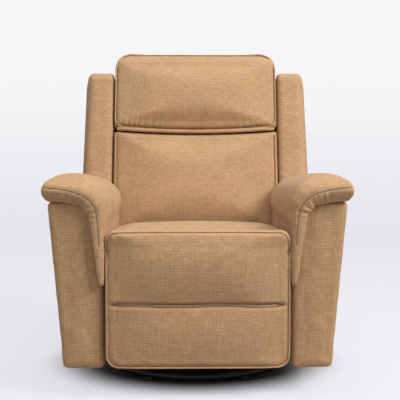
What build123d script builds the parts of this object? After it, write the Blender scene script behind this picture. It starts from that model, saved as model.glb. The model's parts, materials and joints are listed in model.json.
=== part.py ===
from build123d import *
import math
import os

# Swivel glider recliner: a round floor base carries a turntable, four swing links hang the chair from it,
# the back reclines on two pins and the footrest swings out on a pair of lazy-tong linkages.
# Millimetres, +Z up, +X to the sitter's left, the sitter faces -Y, origin on the floor under the turntable.

# Fits
RUN_FIT = 0.05        # radial clearance of a pin that turns in a bore
SEAT_GAP = 0.3        # soft or loose pieces that rest on each other
SIDE_GAP = 1.5        # flat plates that pass each other on a pin
LOOSE_FIT = 1.2       # radial clearance of the linkage pivot that is left open

# Floor base
RING_RADIUS = 276.0   # centre line of the floor ring
RING_TUBE_R = 14.0
RING_SIDES = 12
FLOOR_GLIDE_R = 17.0
FLOOR_GLIDE_H = 5.0   # floor to the underside of the ring
FLOOR_GLIDE_COUNT = 6
CROSS_WIDTH = 45.0
CROSS_HEIGHT = 18.0
HUB_R = 70.0
KING_R = 10.0         # king bolt that the chair turns on
KING_HEAD_R = 19.0
KING_HEAD_H = 5.0
KING_NUT_R = 17.0
KING_NUT_H = 10.0

# Turntable bearing
RACE_INNER_R = 24.0
RACE_OUTER_R = 66.0
RACE_H = 6.0
WASHER_T = 2.0
WASHER_MARGIN = 4.0

# Swivel plate and glide stands
PLATE_LENGTH_X = 320.0
PLATE_LENGTH_Y = 300.0
PLATE_T = 5.0
PLATE_CORNER_R = 30.0
STAND_X = 150.0       # inner face of each upright
STAND_T = 5.0
STAND_FOOT = 45.0
STAND_LENGTH = 264.0
STAND_EDGE = 17.0     # steel around the upper pivots
STAND_WINDOW = (70.0, 72.0)
BOLT_R = 4.0
BOLT_HEAD_R = 7.0
BOLT_HEAD_H = 5.0

# Glide links
GLIDE_SPAN = 220.0    # front pivot to rear pivot
GLIDE_TOP_Z = 190.0
GLIDE_LINK = 105.0    # pivot to pivot
GLIDE_LINK_W = 30.0
GLIDE_LINK_T = 5.0
GLIDE_PIN_R = 6.0
GLIDE_HEAD_R = 10.0
GLIDE_HEAD_T = 4.0
RAIL_LENGTH = 520.0
RAIL_H = 30.0
RAIL_FLANGE = 30.0
RAIL_T = 5.0
TUBE_SIDE = 30.0      # square cross tubes under the chair
TUBE_WALL = 2.0

# Arms
ARM_INNER_X = 264.0
ARM_OUTER_TOP_X = 407.0
ARM_OUTER_BOTTOM_X = 366.0
ARM_BOTTOM_Z = 80.0
ARM_TOP_FRONT_Z = 536.0
ARM_SLOPE = 0.045     # fall of the arm towards the rear
ARM_FRONT_Y = -412.0
ARM_PADDING = 18.0
ARM_EDGE_R = 9.0
PAD_FRONT_Y = -442.0
PAD_OUTER_X = 417.0
PAD_INNER_X = 254.0
PAD_THICK = 70.0
PAD_TIP_Z = 303.0
PAD_SKIRT_Z = 346.0   # lower edge of the layer on the arm's inner face

# Backrest, measured in its own leaning frame: u backward from the pivot, v up from the pivot
LEAN = 15.0
RECLINE_Y = 170.0
RECLINE_Z = 312.0
RECLINE_MAX = 40.0
BACK_R = 100.0        # half thickness of the back, and the roll at its foot
BACK_HALF_W = 381.0
BACK_CLEAR = 4.0
SHELL_T = 14.0
WING_GAP = 5.0        # between the wings and the cushions
WING_TOP_V = 630.0
CENTRE_HALF_W = 277.0
LUMBAR_BOTTOM_V = 65.0
LUMBAR_TOP_V = 406.0
HEAD_BOTTOM_V = 416.0
HEAD_TOP_V = 706.0
CUSHION_CROWN = 38.0
POST_W = 34.0
POST_INSET = 3.0      # posts stop inside the cushions' sides
POST_FRONT_U = -20.0
POST_BACK_U = 70.0
POST_BOTTOM_V = 40.0
POST_TOP_V = 600.0
BACK_RAIL_H = 40.0
WEB_COUNT = 6
WEB_W = 50.0
WEB_T = 2.0
RECLINE_PIN_R = 8.0
BRACKET_T = 4.0
BRACKET_LENGTH = 190.0
BRACKET_EYE_R = 22.0

# Seat
SEAT_HALF_W = 249.0
SEAT_FRONT_Y = -392.0
SEAT_RAIL_H = 28.0
SEAT_RAIL_W = 26.0
SEAT_RAIL_TOP_Z = 360.0
SEAT_FRONT_TOP_Z = 452.0
SEAT_CROWN_Z = 470.0
SPRING_COUNT = 4
SPRING_WIRE_R = 1.9
SPRING_PITCH = 100.0
SPRING_WIDTH = 62.0
SPRING_BEND_STEPS = 6

# Mechanism side plates and footrest linkage: s is forward of the origin, so Y is -s
MECH_X = 230.0
MECH_T = 4.0
MECH_LOW_Z = 274.0
MECH_HIGH_Z = 347.0
SPACER_PLACES = (-230.0, 60.0)
SLOT_PLACES = (-150.0, -10.0)
LINK_T = 4.0
LINK_W = 22.0
LINK_PIN_R = 5.0
LINK_HEAD_R = 8.0
LINK_HEAD_T = 2.0
LIFT_S = 320.0        # pivot of the long links on the side plates
LIFT_Z = 322.0
LONG_LINK = 120.0     # lift pivot to the first link's pivot
SHORT_LINK = 130.0
BOARD_S = 398.0       # rear face of the stowed footrest board
BOARD_TOP_Z = 437.0
BOARD_OUT_S = 430.0   # the same corner with the footrest out
BOARD_OUT_Z = 404.0
FOOT_TURN = 88.0
BOARD_T = 12.0
BOARD_H = 330.0
BOARD_HALF_W = 240.0
PIVOT_DEPTH = 24.0    # board's rear face to the bracket pivots
PIVOT_DROP = 120.0    # board's top edge to the first bracket pivot
PIVOT_STEP = 30.0     # first to second bracket pivot
GUIDE_OFFSET = 70.0   # guide pivot off the chord between the bracket pivot's two ends
TORQUE_R = 9.0
TORQUE_AT = 40.0
FOOT_HALF_W = 250.0
FOOT_FRONT_S = 448.0
FOOT_BOTTOM_Z = 84.0
FOOT_TOP_Z = 454.0
FOOT_TUCK_Z = 258.0   # sewn tuck across the footrest

# Release lever on the sitter's right
LEVER_Y = -20.0
LEVER_Z = 288.0
LEVER_SHAFT_R = 8.0
LEVER_LENGTH = 125.0
LEVER_T = 12.0
LEVER_X = 401.0       # inner face of the handle
BEZEL_R = 27.0

# Rear apron
APRON_T = 19.0
APRON_TOP_Z = 224.0

SIDES = {"left": 1, "right": -1}
nodes = {}


def on_side(shape, sign):
    """The shape itself on the sitter's left, or its mirror image on the right."""
    return shape if sign > 0 else mirror(shape, about=Plane.YZ)


def both_sides(name, shape):
    """A node for each side."""
    for side, sign in SIDES.items():
        nodes[f"{name}_{side}"] = on_side(shape, sign)


def pair(name, *shapes):
    """One node that holds the pieces of both sides."""
    nodes[name] = Compound([on_side(shape, sign) for sign in SIDES.values() for shape in shapes])


def slab_x(face, low, high):
    """A face drawn in (Y, Z), made solid from X low to X high."""
    return extrude(Plane.YZ.offset(low) * face, high - low)


def slab_y(face, low, high):
    """A face drawn in (X, Z), made solid from Y low to Y high."""
    return extrude(Plane.XZ.offset(-low) * face, -(high - low))


def polygon(*points):
    return make_face(Polyline(*points, close=True))


def rod_x(radius, low, high, y, z):
    return Pos((low + high) / 2, y, z) * Rot(0, 90, 0) * Cylinder(radius, high - low)


def box(low, high):
    size = [b - a for a, b in zip(low, high)]
    centre = [(a + b) / 2 for a, b in zip(low, high)]
    return Pos(*centre) * Box(*size)


def link_face(eyes, width, bore_r):
    """A flat bar with a round eye at each of its pivots, in a row of (Y, Z) points."""
    ends = [Pos(y, z) * Circle(width / 2) for y, z in (eyes[0], eyes[-1])]
    bar = make_hull([edge for end in ends for edge in end.edges()])
    for y, z in eyes:
        bar -= Pos(y, z) * Circle(bore_r)
    return bar


def turned(point, centre, degrees):
    """A (s, z) point turned about a centre, positive from forward to up."""
    angle = math.radians(degrees)
    ds, dz = point[0] - centre[0], point[1] - centre[1]
    s = centre[0] + ds * math.cos(angle) - dz * math.sin(angle)
    return s, centre[1] + ds * math.sin(angle) + dz * math.cos(angle)


def leaning(shape):
    """Carries a shape from the backrest's own frame (X, u, v) to the chair's frame."""
    return Location((0, RECLINE_Y, RECLINE_Z), (-LEAN, 0, 0)) * shape


def lean_point(u, v):
    angle = math.radians(LEAN)
    y = RECLINE_Y + u * math.cos(angle) + v * math.sin(angle)
    return y, RECLINE_Z - u * math.sin(angle) + v * math.cos(angle)


# Floor base
ring_z = FLOOR_GLIDE_H + RING_TUBE_R


def ring_of(tube_r):
    """A ring of tube, with a many-sided section of that outer radius."""
    tube_section = Rot(0, 0, 180 / RING_SIDES) * RegularPolygon(tube_r, RING_SIDES)
    section = Plane.XZ * Pos(RING_RADIUS, ring_z) * tube_section
    return revolve(section, Axis.Z)


nodes["base_ring"] = ring_of(RING_TUBE_R)

glide_pad = Pos(0, 0, ring_z / 2) * Cylinder(FLOOR_GLIDE_R, ring_z)
glide_pads = PolarLocations(RING_RADIUS, FLOOR_GLIDE_COUNT) * glide_pad
ring_room = ring_of(RING_TUBE_R + RUN_FIT)
above_pads = box((-400, -400, ring_z - RING_TUBE_R / 2), (400, 400, 2 * ring_z))
nodes["floor_glides"] = Compound([pad - ring_room - above_pads for pad in glide_pads])

cross_low = ring_z - CROSS_HEIGHT / 2
cross_top = ring_z + CROSS_HEIGHT / 2
bar = Pos(0, 0, ring_z) * Box(2 * RING_RADIUS, CROSS_WIDTH, CROSS_HEIGHT)
cross = Rot(0, 0, 45) * bar + Rot(0, 0, -45) * bar
cross += Pos(0, 0, ring_z) * Cylinder(HUB_R, CROSS_HEIGHT)
cross -= ring_room
cross -= Pos(0, 0, ring_z) * Cylinder(KING_R + RUN_FIT, 2 * CROSS_HEIGHT)
nodes["base_cross"] = max(cross.solids(), key=lambda solid: solid.volume)

# Turntable bearing: two steel races with a low-friction washer between them
washer_z = cross_top + RACE_H + WASHER_T / 2
race = Cylinder(RACE_OUTER_R, RACE_H) - Cylinder(RACE_INNER_R, RACE_H)
race_offset = (RACE_H + WASHER_T) / 2
nodes["bearing_lower_race"] = Pos(0, 0, washer_z - race_offset) * race
nodes["bearing_upper_race"] = Pos(0, 0, washer_z + race_offset) * race
washer_r = RACE_OUTER_R - WASHER_MARGIN
washer = Cylinder(washer_r, WASHER_T) - Cylinder(RACE_INNER_R + WASHER_MARGIN, WASHER_T)
nodes["bearing_washer"] = Pos(0, 0, washer_z) * washer

# Swivel plate, turning on the king bolt
plate_z = washer_z + race_offset + RACE_H / 2
plate_top = plate_z + PLATE_T
plate_face = RectangleRounded(PLATE_LENGTH_X, PLATE_LENGTH_Y, PLATE_CORNER_R) - Circle(KING_R + RUN_FIT)
plate = Pos(0, 0, plate_z) * extrude(plate_face, PLATE_T)
nut_z = plate_top + SEAT_GAP
king_top = nut_z + KING_NUT_H + 2
king = Pos(0, 0, (cross_low + king_top) / 2) * Cylinder(KING_R, king_top - cross_low)
king += Pos(0, 0, cross_low - KING_HEAD_H / 2) * Cylinder(KING_HEAD_R, KING_HEAD_H)
nodes["king_bolt"] = king
nut_face = RegularPolygon(KING_NUT_R, 6) - Circle(KING_R + RUN_FIT)
nodes["king_nut"] = Pos(0, 0, nut_z) * extrude(nut_face, KING_NUT_H)

# Glide stands: an upright with a foot flange, bolted to the swivel plate
stand_top = GLIDE_TOP_Z + STAND_EDGE
half_span = GLIDE_SPAN / 2
upright_face = Rectangle(STAND_LENGTH, stand_top - plate_top)
upright_face = fillet(upright_face.vertices().group_by(Axis.Y)[-1], STAND_EDGE)
upright_face = Pos(0, (stand_top + plate_top) / 2) * upright_face
for y in (-half_span / 2, half_span / 2):
    upright_face -= Pos(y, (stand_top + plate_top) / 2) * RectangleRounded(*STAND_WINDOW, 12)
for y in (-half_span, half_span):
    upright_face -= Pos(y, GLIDE_TOP_Z) * Circle(GLIDE_PIN_R + RUN_FIT)
stand = slab_x(upright_face, STAND_X, STAND_X + STAND_T)
foot_low = (STAND_X - STAND_FOOT, -STAND_LENGTH / 2, plate_top)
stand += box(foot_low, (STAND_X + STAND_T, STAND_LENGTH / 2, plate_top + STAND_T))
bolt_x = STAND_X - STAND_FOOT / 2
bolt_places = [(bolt_x, -half_span), (bolt_x, half_span)]
bolts = []
for x, y in bolt_places:
    hole = Pos(x, y, plate_top) * Cylinder(BOLT_R + RUN_FIT, 6 * PLATE_T)
    stand -= hole
    plate = plate - hole - Pos(-2 * x, 0, 0) * hole
    shank = Pos(x, y, plate_z + (PLATE_T + STAND_T) / 2) * Cylinder(BOLT_R, PLATE_T + STAND_T)
    head = Pos(x, y, plate_top + STAND_T + BOLT_HEAD_H / 2) * Cylinder(BOLT_HEAD_R, BOLT_HEAD_H)
    bolts += [shank + head]
nodes["swivel_plate"] = plate
pair("glide_stands", stand)
pair("stand_bolts", *bolts)

# Glide links, hung on pins through the stands
link_x = STAND_X + STAND_T + SIDE_GAP
glide_low_z = GLIDE_TOP_Z - GLIDE_LINK
rail_x = link_x + GLIDE_LINK_T + SIDE_GAP
upper_pins = []
lower_pins = []
for place, y in (("front", -half_span), ("rear", half_span)):
    eyes = [(y, GLIDE_TOP_Z), (y, glide_low_z)]
    link = slab_x(link_face(eyes, GLIDE_LINK_W, GLIDE_PIN_R + RUN_FIT), link_x, link_x + GLIDE_LINK_T)
    both_sides(f"glide_link_{place}", link)
    pin = rod_x(GLIDE_PIN_R, STAND_X - GLIDE_HEAD_T, link_x + GLIDE_LINK_T + GLIDE_HEAD_T, y, GLIDE_TOP_Z)
    pin += rod_x(GLIDE_HEAD_R, STAND_X - GLIDE_HEAD_T, STAND_X, y, GLIDE_TOP_Z)
    head_x = link_x + GLIDE_LINK_T + SEAT_GAP
    pin += rod_x(GLIDE_HEAD_R, head_x, head_x + GLIDE_HEAD_T, y, GLIDE_TOP_Z)
    upper_pins += [pin]
    pin = rod_x(GLIDE_PIN_R, link_x, rail_x + RAIL_T, y, glide_low_z)
    pin += rod_x(GLIDE_HEAD_R, rail_x + RAIL_T, rail_x + RAIL_T + GLIDE_HEAD_T, y, glide_low_z)
    lower_pins += [pin]
pair("glide_upper_pins", *upper_pins)
pair("glide_lower_pins", *lower_pins)

# Glide rails: steel angles that carry the chair on the links
rail_low = glide_low_z - RAIL_H / 2
rail_top = glide_low_z + RAIL_H / 2
rail = box((rail_x, -RAIL_LENGTH / 2, rail_low), (rail_x + RAIL_T, RAIL_LENGTH / 2, rail_top))
flange_low = (rail_x, -RAIL_LENGTH / 2, rail_top - RAIL_T)
rail += box(flange_low, (rail_x + RAIL_FLANGE, RAIL_LENGTH / 2, rail_top))
for y in (-half_span, half_span):
    rail -= rod_x(GLIDE_PIN_R + RUN_FIT, rail_x, rail_x + RAIL_T, y, glide_low_z)
pair("glide_rails", rail)

# Cross tubes from arm to arm, lying on the rails. The rear one stands against the apron.
rear_u = BACK_R + BACK_CLEAR
rear_turn = 90 - LEAN - RECLINE_MAX + math.degrees(math.acos(BACK_R / (rear_u - LOOSE_FIT)))
arm_rear_y = RECLINE_Y + rear_u * math.sin(math.radians(rear_turn))
tube_y = arm_rear_y - APRON_T - SEAT_GAP - TUBE_SIDE / 2
tube_bore = TUBE_SIDE - 2 * TUBE_WALL
for place, y in (("front", -tube_y), ("rear", tube_y)):
    tube_face = Rectangle(TUBE_SIDE, TUBE_SIDE) - Rectangle(tube_bore, tube_bore)
    tube_face = Pos(y, rail_top + TUBE_SIDE / 2) * tube_face
    nodes[f"cross_tube_{place}"] = slab_x(tube_face, -ARM_INNER_X, ARM_INNER_X)

# Arms: a wooden frame inside a padded cover. The rear edge runs beside the back and round its foot,
# and ends where the flat of the reclined back comes down
lean_rad = math.radians(LEAN)
edge_y, edge_z = lean_point(-rear_u, 0)


def arm_top(y):
    return ARM_TOP_FRONT_Z - ARM_SLOPE * (y - ARM_FRONT_Y)


edge_rise = (arm_top(edge_y) - edge_z) / (math.cos(lean_rad) + ARM_SLOPE * math.sin(lean_rad))
corner_z = RECLINE_Z - math.sqrt(rear_u**2 - (arm_rear_y - RECLINE_Y) ** 2)
arm_outline = [
    Line((ARM_FRONT_Y, ARM_BOTTOM_Z), (arm_rear_y, ARM_BOTTOM_Z)),
    Line((arm_rear_y, ARM_BOTTOM_Z), (arm_rear_y, corner_z)),
    ThreePointArc((arm_rear_y, corner_z), lean_point(-rear_u * 0.8, -rear_u * 0.6), (edge_y, edge_z)),
    Line((edge_y, edge_z), lean_point(-rear_u, edge_rise)),
    Line(lean_point(-rear_u, edge_rise), (ARM_FRONT_Y, ARM_TOP_FRONT_Z)),
    Line((ARM_FRONT_Y, ARM_TOP_FRONT_Z), (ARM_FRONT_Y, ARM_BOTTOM_Z)),
]
arm_side = make_face(arm_outline)
arm_height = ARM_TOP_FRONT_Z - ARM_BOTTOM_Z
flare = (ARM_OUTER_TOP_X - ARM_OUTER_BOTTOM_X) / arm_height
arm_front = polygon(
    (ARM_INNER_X, ARM_BOTTOM_Z),
    (ARM_OUTER_BOTTOM_X, ARM_BOTTOM_Z),
    (ARM_OUTER_BOTTOM_X + 1.1 * flare * arm_height, ARM_BOTTOM_Z + 1.1 * arm_height),
    (ARM_INNER_X, ARM_BOTTOM_Z + 1.1 * arm_height),
)


def outer_arm_x(z):
    return ARM_OUTER_BOTTOM_X + flare * (z - ARM_BOTTOM_Z)


def arm_block(inset):
    """The whole arm, or its core at a depth below the cover."""
    side = offset(arm_side, -inset) if inset else arm_side
    front = offset(arm_front, -inset) if inset else arm_front
    return slab_x(side, 0, 2 * ARM_OUTER_TOP_X) & slab_y(front, 2 * ARM_FRONT_Y, 2 * arm_rear_y)


core = arm_block(ARM_PADDING)
core_room = arm_block(ARM_PADDING - SEAT_GAP)
cover = arm_block(0)
front_edges = cover.faces().sort_by(Axis.Y)[0].edges()
cover = fillet(front_edges, ARM_EDGE_R) - core_room
window_rise = arm_height - 6 * ARM_PADDING
window_z = ARM_BOTTOM_Z + arm_height / 2
for y, width in ((ARM_FRONT_Y * 0.56, 230.0), (-10.0, 110.0)):
    core -= Pos(ARM_INNER_X, y, window_z) * Box(2 * ARM_INNER_X, width, window_rise)
both_sides("arm_frame", core)
lever_bore = rod_x(LEVER_SHAFT_R + RUN_FIT, -2 * ARM_INNER_X, -ARM_INNER_X + 1, LEVER_Y, LEVER_Z)
nodes["arm_cover_left"] = cover
nodes["arm_cover_right"] = on_side(cover, -1) - lever_bore

# Arm pads: a rolled top that turns down over the inner face and down the front inner edge
pad_z = arm_top(PAD_FRONT_Y) + SEAT_GAP
pad_side_x = ARM_INNER_X - SEAT_GAP
pad_crest = pad_z + PAD_THICK
roll_low = (PAD_OUTER_X - 13, pad_z)
roll_high = (PAD_OUTER_X - 24, pad_z + 0.8 * PAD_THICK)
bend_high = (PAD_INNER_X + 38, pad_z + 0.76 * PAD_THICK)
bend_low = (PAD_INNER_X, pad_z - 8)
pad_section = make_face(
    [
        ThreePointArc(roll_low, (PAD_OUTER_X, pad_z + 0.4 * PAD_THICK), roll_high),
        ThreePointArc(roll_high, ((roll_high[0] + bend_high[0]) / 2, pad_crest), bend_high),
        ThreePointArc(bend_high, (PAD_INNER_X + 10, pad_z + 0.36 * PAD_THICK), bend_low),
        Polyline(bend_low, (PAD_INNER_X, PAD_SKIRT_Z), (pad_side_x, PAD_SKIRT_Z)),
        Polyline((pad_side_x, PAD_SKIRT_Z), (pad_side_x, pad_z), roll_low),
    ]
)
pad = slab_y(pad_section, PAD_FRONT_Y - PAD_THICK, arm_rear_y)
pad_tilt = Rot(-math.degrees(math.atan(ARM_SLOPE)), 0, 0)
pad = Pos(0, PAD_FRONT_Y, pad_z) * pad_tilt * Pos(0, -PAD_FRONT_Y, -pad_z) * pad
pad -= leaning(box((0, -rear_u, -2 * BACK_R), (2 * PAD_OUTER_X, 4 * BACK_R, 8 * BACK_R)))
leg_face = polygon(
    (PAD_INNER_X, pad_z + 10),
    (PAD_INNER_X, PAD_TIP_Z + 12),
    (PAD_INNER_X + 7, PAD_TIP_Z),
    (PAD_INNER_X + 15, PAD_TIP_Z + 10),
    (PAD_INNER_X + 30, PAD_TIP_Z + 130),
    (PAD_INNER_X + 42, PAD_TIP_Z + 196),
    (PAD_INNER_X + 66, pad_z + 10),
)
pad += slab_y(leg_face, PAD_FRONT_Y, ARM_FRONT_Y - SEAT_GAP)
nose = pad_z + 0.42 * PAD_THICK
leg_y = PAD_FRONT_Y + 8
top_y = PAD_FRONT_Y + 50
pad_profile = make_face(
    [
        Line((leg_y, ARM_BOTTOM_Z), (leg_y, pad_z - 30)),
        ThreePointArc((leg_y, pad_z - 30), (leg_y - 5, pad_z), (PAD_FRONT_Y, nose)),
        ThreePointArc((PAD_FRONT_Y, nose), (PAD_FRONT_Y + 14, nose + 28), (top_y, pad_crest + 1)),
        Polyline((top_y, pad_crest + 1), (arm_rear_y, pad_crest + 1), (arm_rear_y, ARM_BOTTOM_Z)),
        Line((arm_rear_y, ARM_BOTTOM_Z), (leg_y, ARM_BOTTOM_Z)),
    ]
)
both_sides("arm_pad", pad & slab_x(pad_profile, 0, 2 * PAD_OUTER_X))

# Rear apron between the arms
apron_low = (-ARM_INNER_X, arm_rear_y - APRON_T, rail_top + SEAT_GAP)
nodes["rear_apron"] = box(apron_low, (ARM_INNER_X, arm_rear_y, APRON_TOP_Z))

# Seat rails, with waved springs across them and the seat cushion on top
rail_bottom = SEAT_RAIL_TOP_Z - SEAT_RAIL_H
rail_inner = MECH_X - SEAT_RAIL_W
rear_rail_y = 28.0
front_low = (-MECH_X + 2, SEAT_FRONT_Y, rail_bottom)
front_high = (MECH_X - 2, SEAT_FRONT_Y + SEAT_RAIL_W, SEAT_RAIL_TOP_Z)
nodes["seat_rail_front"] = box(front_low, front_high)
rear_low = (-rail_inner, rear_rail_y - SEAT_RAIL_W, rail_bottom)
nodes["seat_rail_rear"] = box(rear_low, (rail_inner, rear_rail_y, SEAT_RAIL_TOP_Z))
side_low = (rail_inner, SEAT_FRONT_Y + SEAT_RAIL_W, rail_bottom)
pair("seat_side_rails", box(side_low, (MECH_X, rear_rail_y, SEAT_RAIL_TOP_Z)))

spring_front = SEAT_FRONT_Y + SEAT_RAIL_W / 2
spring_rear = rear_rail_y - SEAT_RAIL_W / 2
half_waves = round((spring_rear - spring_front) / (SPRING_PITCH / 2))
wave_step = (spring_rear - spring_front) / half_waves
bend_r = wave_step / 2
bend_angles = [math.radians(i * 180 / SPRING_BEND_STEPS) for i in range(SPRING_BEND_STEPS + 1)]
wave = [(0, spring_front)]
for i in range(half_waves):
    turn = 1 if i % 2 else -1
    near = SPRING_WIDTH / 2 - bend_r
    middle = spring_front + (i + 0.5) * wave_step
    wave += [(turn * (near + bend_r * math.sin(a)), middle - bend_r * math.cos(a)) for a in bend_angles]
wave += [(0, spring_rear)]
spring = Pos(0, 0, SEAT_RAIL_TOP_Z) * extrude(trace(Polyline(*wave), 2 * SPRING_WIRE_R), 2 * SPRING_WIRE_R)
spring_step = 2 * rail_inner / (SPRING_COUNT + 0.4)
spring_xs = [(i - (SPRING_COUNT - 1) / 2) * spring_step for i in range(SPRING_COUNT)]
nodes["seat_springs"] = Compound([Pos(x, 0, 0) * spring for x in spring_xs])

lean_back = BACK_R + CUSHION_CROWN + BACK_CLEAR + 2
seat_low_z = SEAT_RAIL_TOP_Z + 2 * SPRING_WIRE_R + SEAT_GAP


def lean_line_y(u, z):
    """Y of the backrest's own plane u at a height z."""
    return RECLINE_Y + u / math.cos(lean_rad) + (z - RECLINE_Z) * math.tan(lean_rad)


seat_rear_z = SEAT_CROWN_Z - 28
seat_rear_y = lean_line_y(-lean_back, seat_rear_z)
roll = 34.0
seat_side = make_face(
    [
        Line((SEAT_FRONT_Y, seat_low_z), (SEAT_FRONT_Y, SEAT_FRONT_TOP_Z - roll)),
        ThreePointArc(
            (SEAT_FRONT_Y, SEAT_FRONT_TOP_Z - roll),
            (SEAT_FRONT_Y + 0.3 * roll, SEAT_FRONT_TOP_Z - 0.22 * roll),
            (SEAT_FRONT_Y + 1.1 * roll, SEAT_FRONT_TOP_Z + 4),
        ),
        ThreePointArc(
            (SEAT_FRONT_Y + 1.1 * roll, SEAT_FRONT_TOP_Z + 4),
            (SEAT_FRONT_Y + 200, SEAT_CROWN_Z),
            (seat_rear_y, seat_rear_z),
        ),
        Line((seat_rear_y, seat_rear_z), (lean_line_y(-lean_back, seat_low_z), seat_low_z)),
        Line((lean_line_y(-lean_back, seat_low_z), seat_low_z), (SEAT_FRONT_Y, seat_low_z)),
    ]
)
shoulder_z = SEAT_FRONT_TOP_Z - 6
waist_z = (seat_low_z + shoulder_z) / 2
seat_front = make_face(
    [
        Line((-SEAT_HALF_W + 5, seat_low_z), (SEAT_HALF_W - 5, seat_low_z)),
        ThreePointArc((SEAT_HALF_W - 5, seat_low_z), (SEAT_HALF_W, waist_z), (SEAT_HALF_W - 5, shoulder_z)),
        ThreePointArc((SEAT_HALF_W - 5, shoulder_z), (0, SEAT_CROWN_Z + 3), (-SEAT_HALF_W + 5, shoulder_z)),
        ThreePointArc((5 - SEAT_HALF_W, shoulder_z), (-SEAT_HALF_W, waist_z), (5 - SEAT_HALF_W, seat_low_z)),
    ]
)
seat_block = slab_x(seat_side, -SEAT_HALF_W, SEAT_HALF_W)
nodes["seat_cushion"] = seat_block & slab_y(seat_front, 2 * SEAT_FRONT_Y, RECLINE_Y)

# Mechanism side plates between the footrest's lift pivot and the recline pivot
lift = (LIFT_S, LIFT_Z)


def yz(point):
    """A (s, z) point as (Y, Z)."""
    return -point[0], point[1]


def hull(*shapes):
    return make_hull([edge for shape in shapes for edge in shape.edges()])


lug_r = 22.0
front_lug = Pos(-LIFT_S, LIFT_Z) * Circle(lug_r)
rear_lug = Pos(RECLINE_Y, RECLINE_Z) * Circle(lug_r)
plate_mid_z = (MECH_LOW_Z + MECH_HIGH_Z) / 2
plate_height = MECH_HIGH_Z - MECH_LOW_Z
neck_low_z = LIFT_Z - lug_r + 2
neck = Pos(-LIFT_S + 60, (neck_low_z + MECH_HIGH_Z) / 2) * Rectangle(20, MECH_HIGH_Z - neck_low_z)
middle = Pos(-90, plate_mid_z) * Rectangle(320, plate_height)
rear_neck = Pos(60, plate_mid_z) * Rectangle(20, plate_height)
mech_face = hull(front_lug, neck) + middle + hull(rear_neck, rear_lug)
for y in SLOT_PLACES:
    mech_face -= Pos(y, plate_mid_z + 12) * SlotOverall(90, 24)
mech_face -= Pos(-LIFT_S, LIFT_Z) * Circle(LINK_PIN_R + RUN_FIT)
mech_face -= Pos(RECLINE_Y, RECLINE_Z) * Circle(RECLINE_PIN_R + RUN_FIT)
spacers = []
spacer_z = MECH_LOW_Z + 14
for y in SPACER_PLACES:
    mech_face -= Pos(y, spacer_z) * Circle(BOLT_R + RUN_FIT)
    spacer = rod_x(BOLT_HEAD_R, MECH_X + MECH_T, ARM_INNER_X, y, spacer_z)
    spacers += [spacer + rod_x(BOLT_R, MECH_X - BOLT_HEAD_H, MECH_X + MECH_T, y, spacer_z)]
pair("mechanism_plates", slab_x(mech_face, MECH_X, MECH_X + MECH_T))
pair("mechanism_spacers", *spacers)

# Footrest linkage: both ends of its travel fix the links, so that the board leaves the seat before it turns
def board_point(corner, turn, drop):
    angle = math.radians(turn)
    s = corner[0] + drop * math.sin(angle) - PIVOT_DEPTH * math.cos(angle)
    return s, corner[1] - drop * math.cos(angle) - PIVOT_DEPTH * math.sin(angle)


def elbow(start, end, first, second):
    """The joint of two links of given lengths, on the side below and behind."""
    ds, dz = end[0] - start[0], end[1] - start[1]
    reach = math.hypot(ds, dz)
    along = (reach**2 + first**2 - second**2) / (2 * reach)
    across = math.sqrt(first**2 - along**2)
    return start[0] + (along * ds + across * dz) / reach, start[1] + (along * dz - across * ds) / reach


def direction(start, end):
    return math.degrees(math.atan2(end[1] - start[1], end[0] - start[0]))


stowed = (BOARD_S, BOARD_TOP_Z)
opened = (BOARD_OUT_S, BOARD_OUT_Z)
first_in = board_point(stowed, 0, PIVOT_DROP)
first_out = board_point(opened, FOOT_TURN, PIVOT_DROP)
second_in = board_point(stowed, 0, PIVOT_DROP + PIVOT_STEP)
second_out = board_point(opened, FOOT_TURN, PIVOT_DROP + PIVOT_STEP)
knee_in = elbow(lift, first_in, LONG_LINK, SHORT_LINK)
knee_out = elbow(lift, first_out, LONG_LINK, SHORT_LINK)
lift_turn = direction(lift, knee_out) - direction(lift, knee_in)
second_back = turned(second_out, lift, -lift_turn)
chord = (second_back[0] - second_in[0], second_back[1] - second_in[1])
chord_length = math.hypot(*chord)
guide_in = (
    (second_in[0] + second_back[0]) / 2 - GUIDE_OFFSET * -chord[1] / chord_length,
    (second_in[1] + second_back[1]) / 2 - GUIDE_OFFSET * chord[0] / chord_length,
)

lift_x = MECH_X + MECH_T + SIDE_GAP
carry_x = lift_x + LINK_T + SIDE_GAP
eye_r = LINK_PIN_R + RUN_FIT
lift_bar = hull(*[Pos(*yz(point)) * Circle(LINK_W / 2) for point in (lift, guide_in)])
for point in (lift, knee_in, guide_in):
    lift_bar -= Pos(*yz(point)) * Circle(eye_r)
tube_part = TORQUE_AT / LONG_LINK
tube_at = yz([a + (b - a) * tube_part for a, b in zip(lift, knee_in)])
pair("lift_links", slab_x(lift_bar, lift_x, lift_x + LINK_T))
torque_face = Pos(*tube_at) * (Circle(TORQUE_R) - Circle(TORQUE_R - TUBE_WALL))
nodes["lift_torque_tube"] = slab_x(torque_face, -lift_x, lift_x)
carry_bar = link_face([yz(knee_in), yz(first_in)], LINK_W, eye_r)
pair("carry_links", slab_x(carry_bar, carry_x, carry_x + LINK_T))
guide_bar = hull(*[Pos(*yz(point)) * Circle(LINK_W / 2) for point in (guide_in, second_in)])
guide_bar -= Pos(*yz(guide_in)) * Circle(eye_r)
guide_bar -= Pos(*yz(second_in)) * Circle(LINK_PIN_R + LOOSE_FIT)
pair("guide_links", slab_x(guide_bar, MECH_X, MECH_X + LINK_T))


def headed_pin(point, low, high, head_low, head_high):
    pin = rod_x(LINK_PIN_R, low, high, *yz(point))
    return pin + rod_x(LINK_HEAD_R, head_low, head_high, *yz(point))


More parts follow.
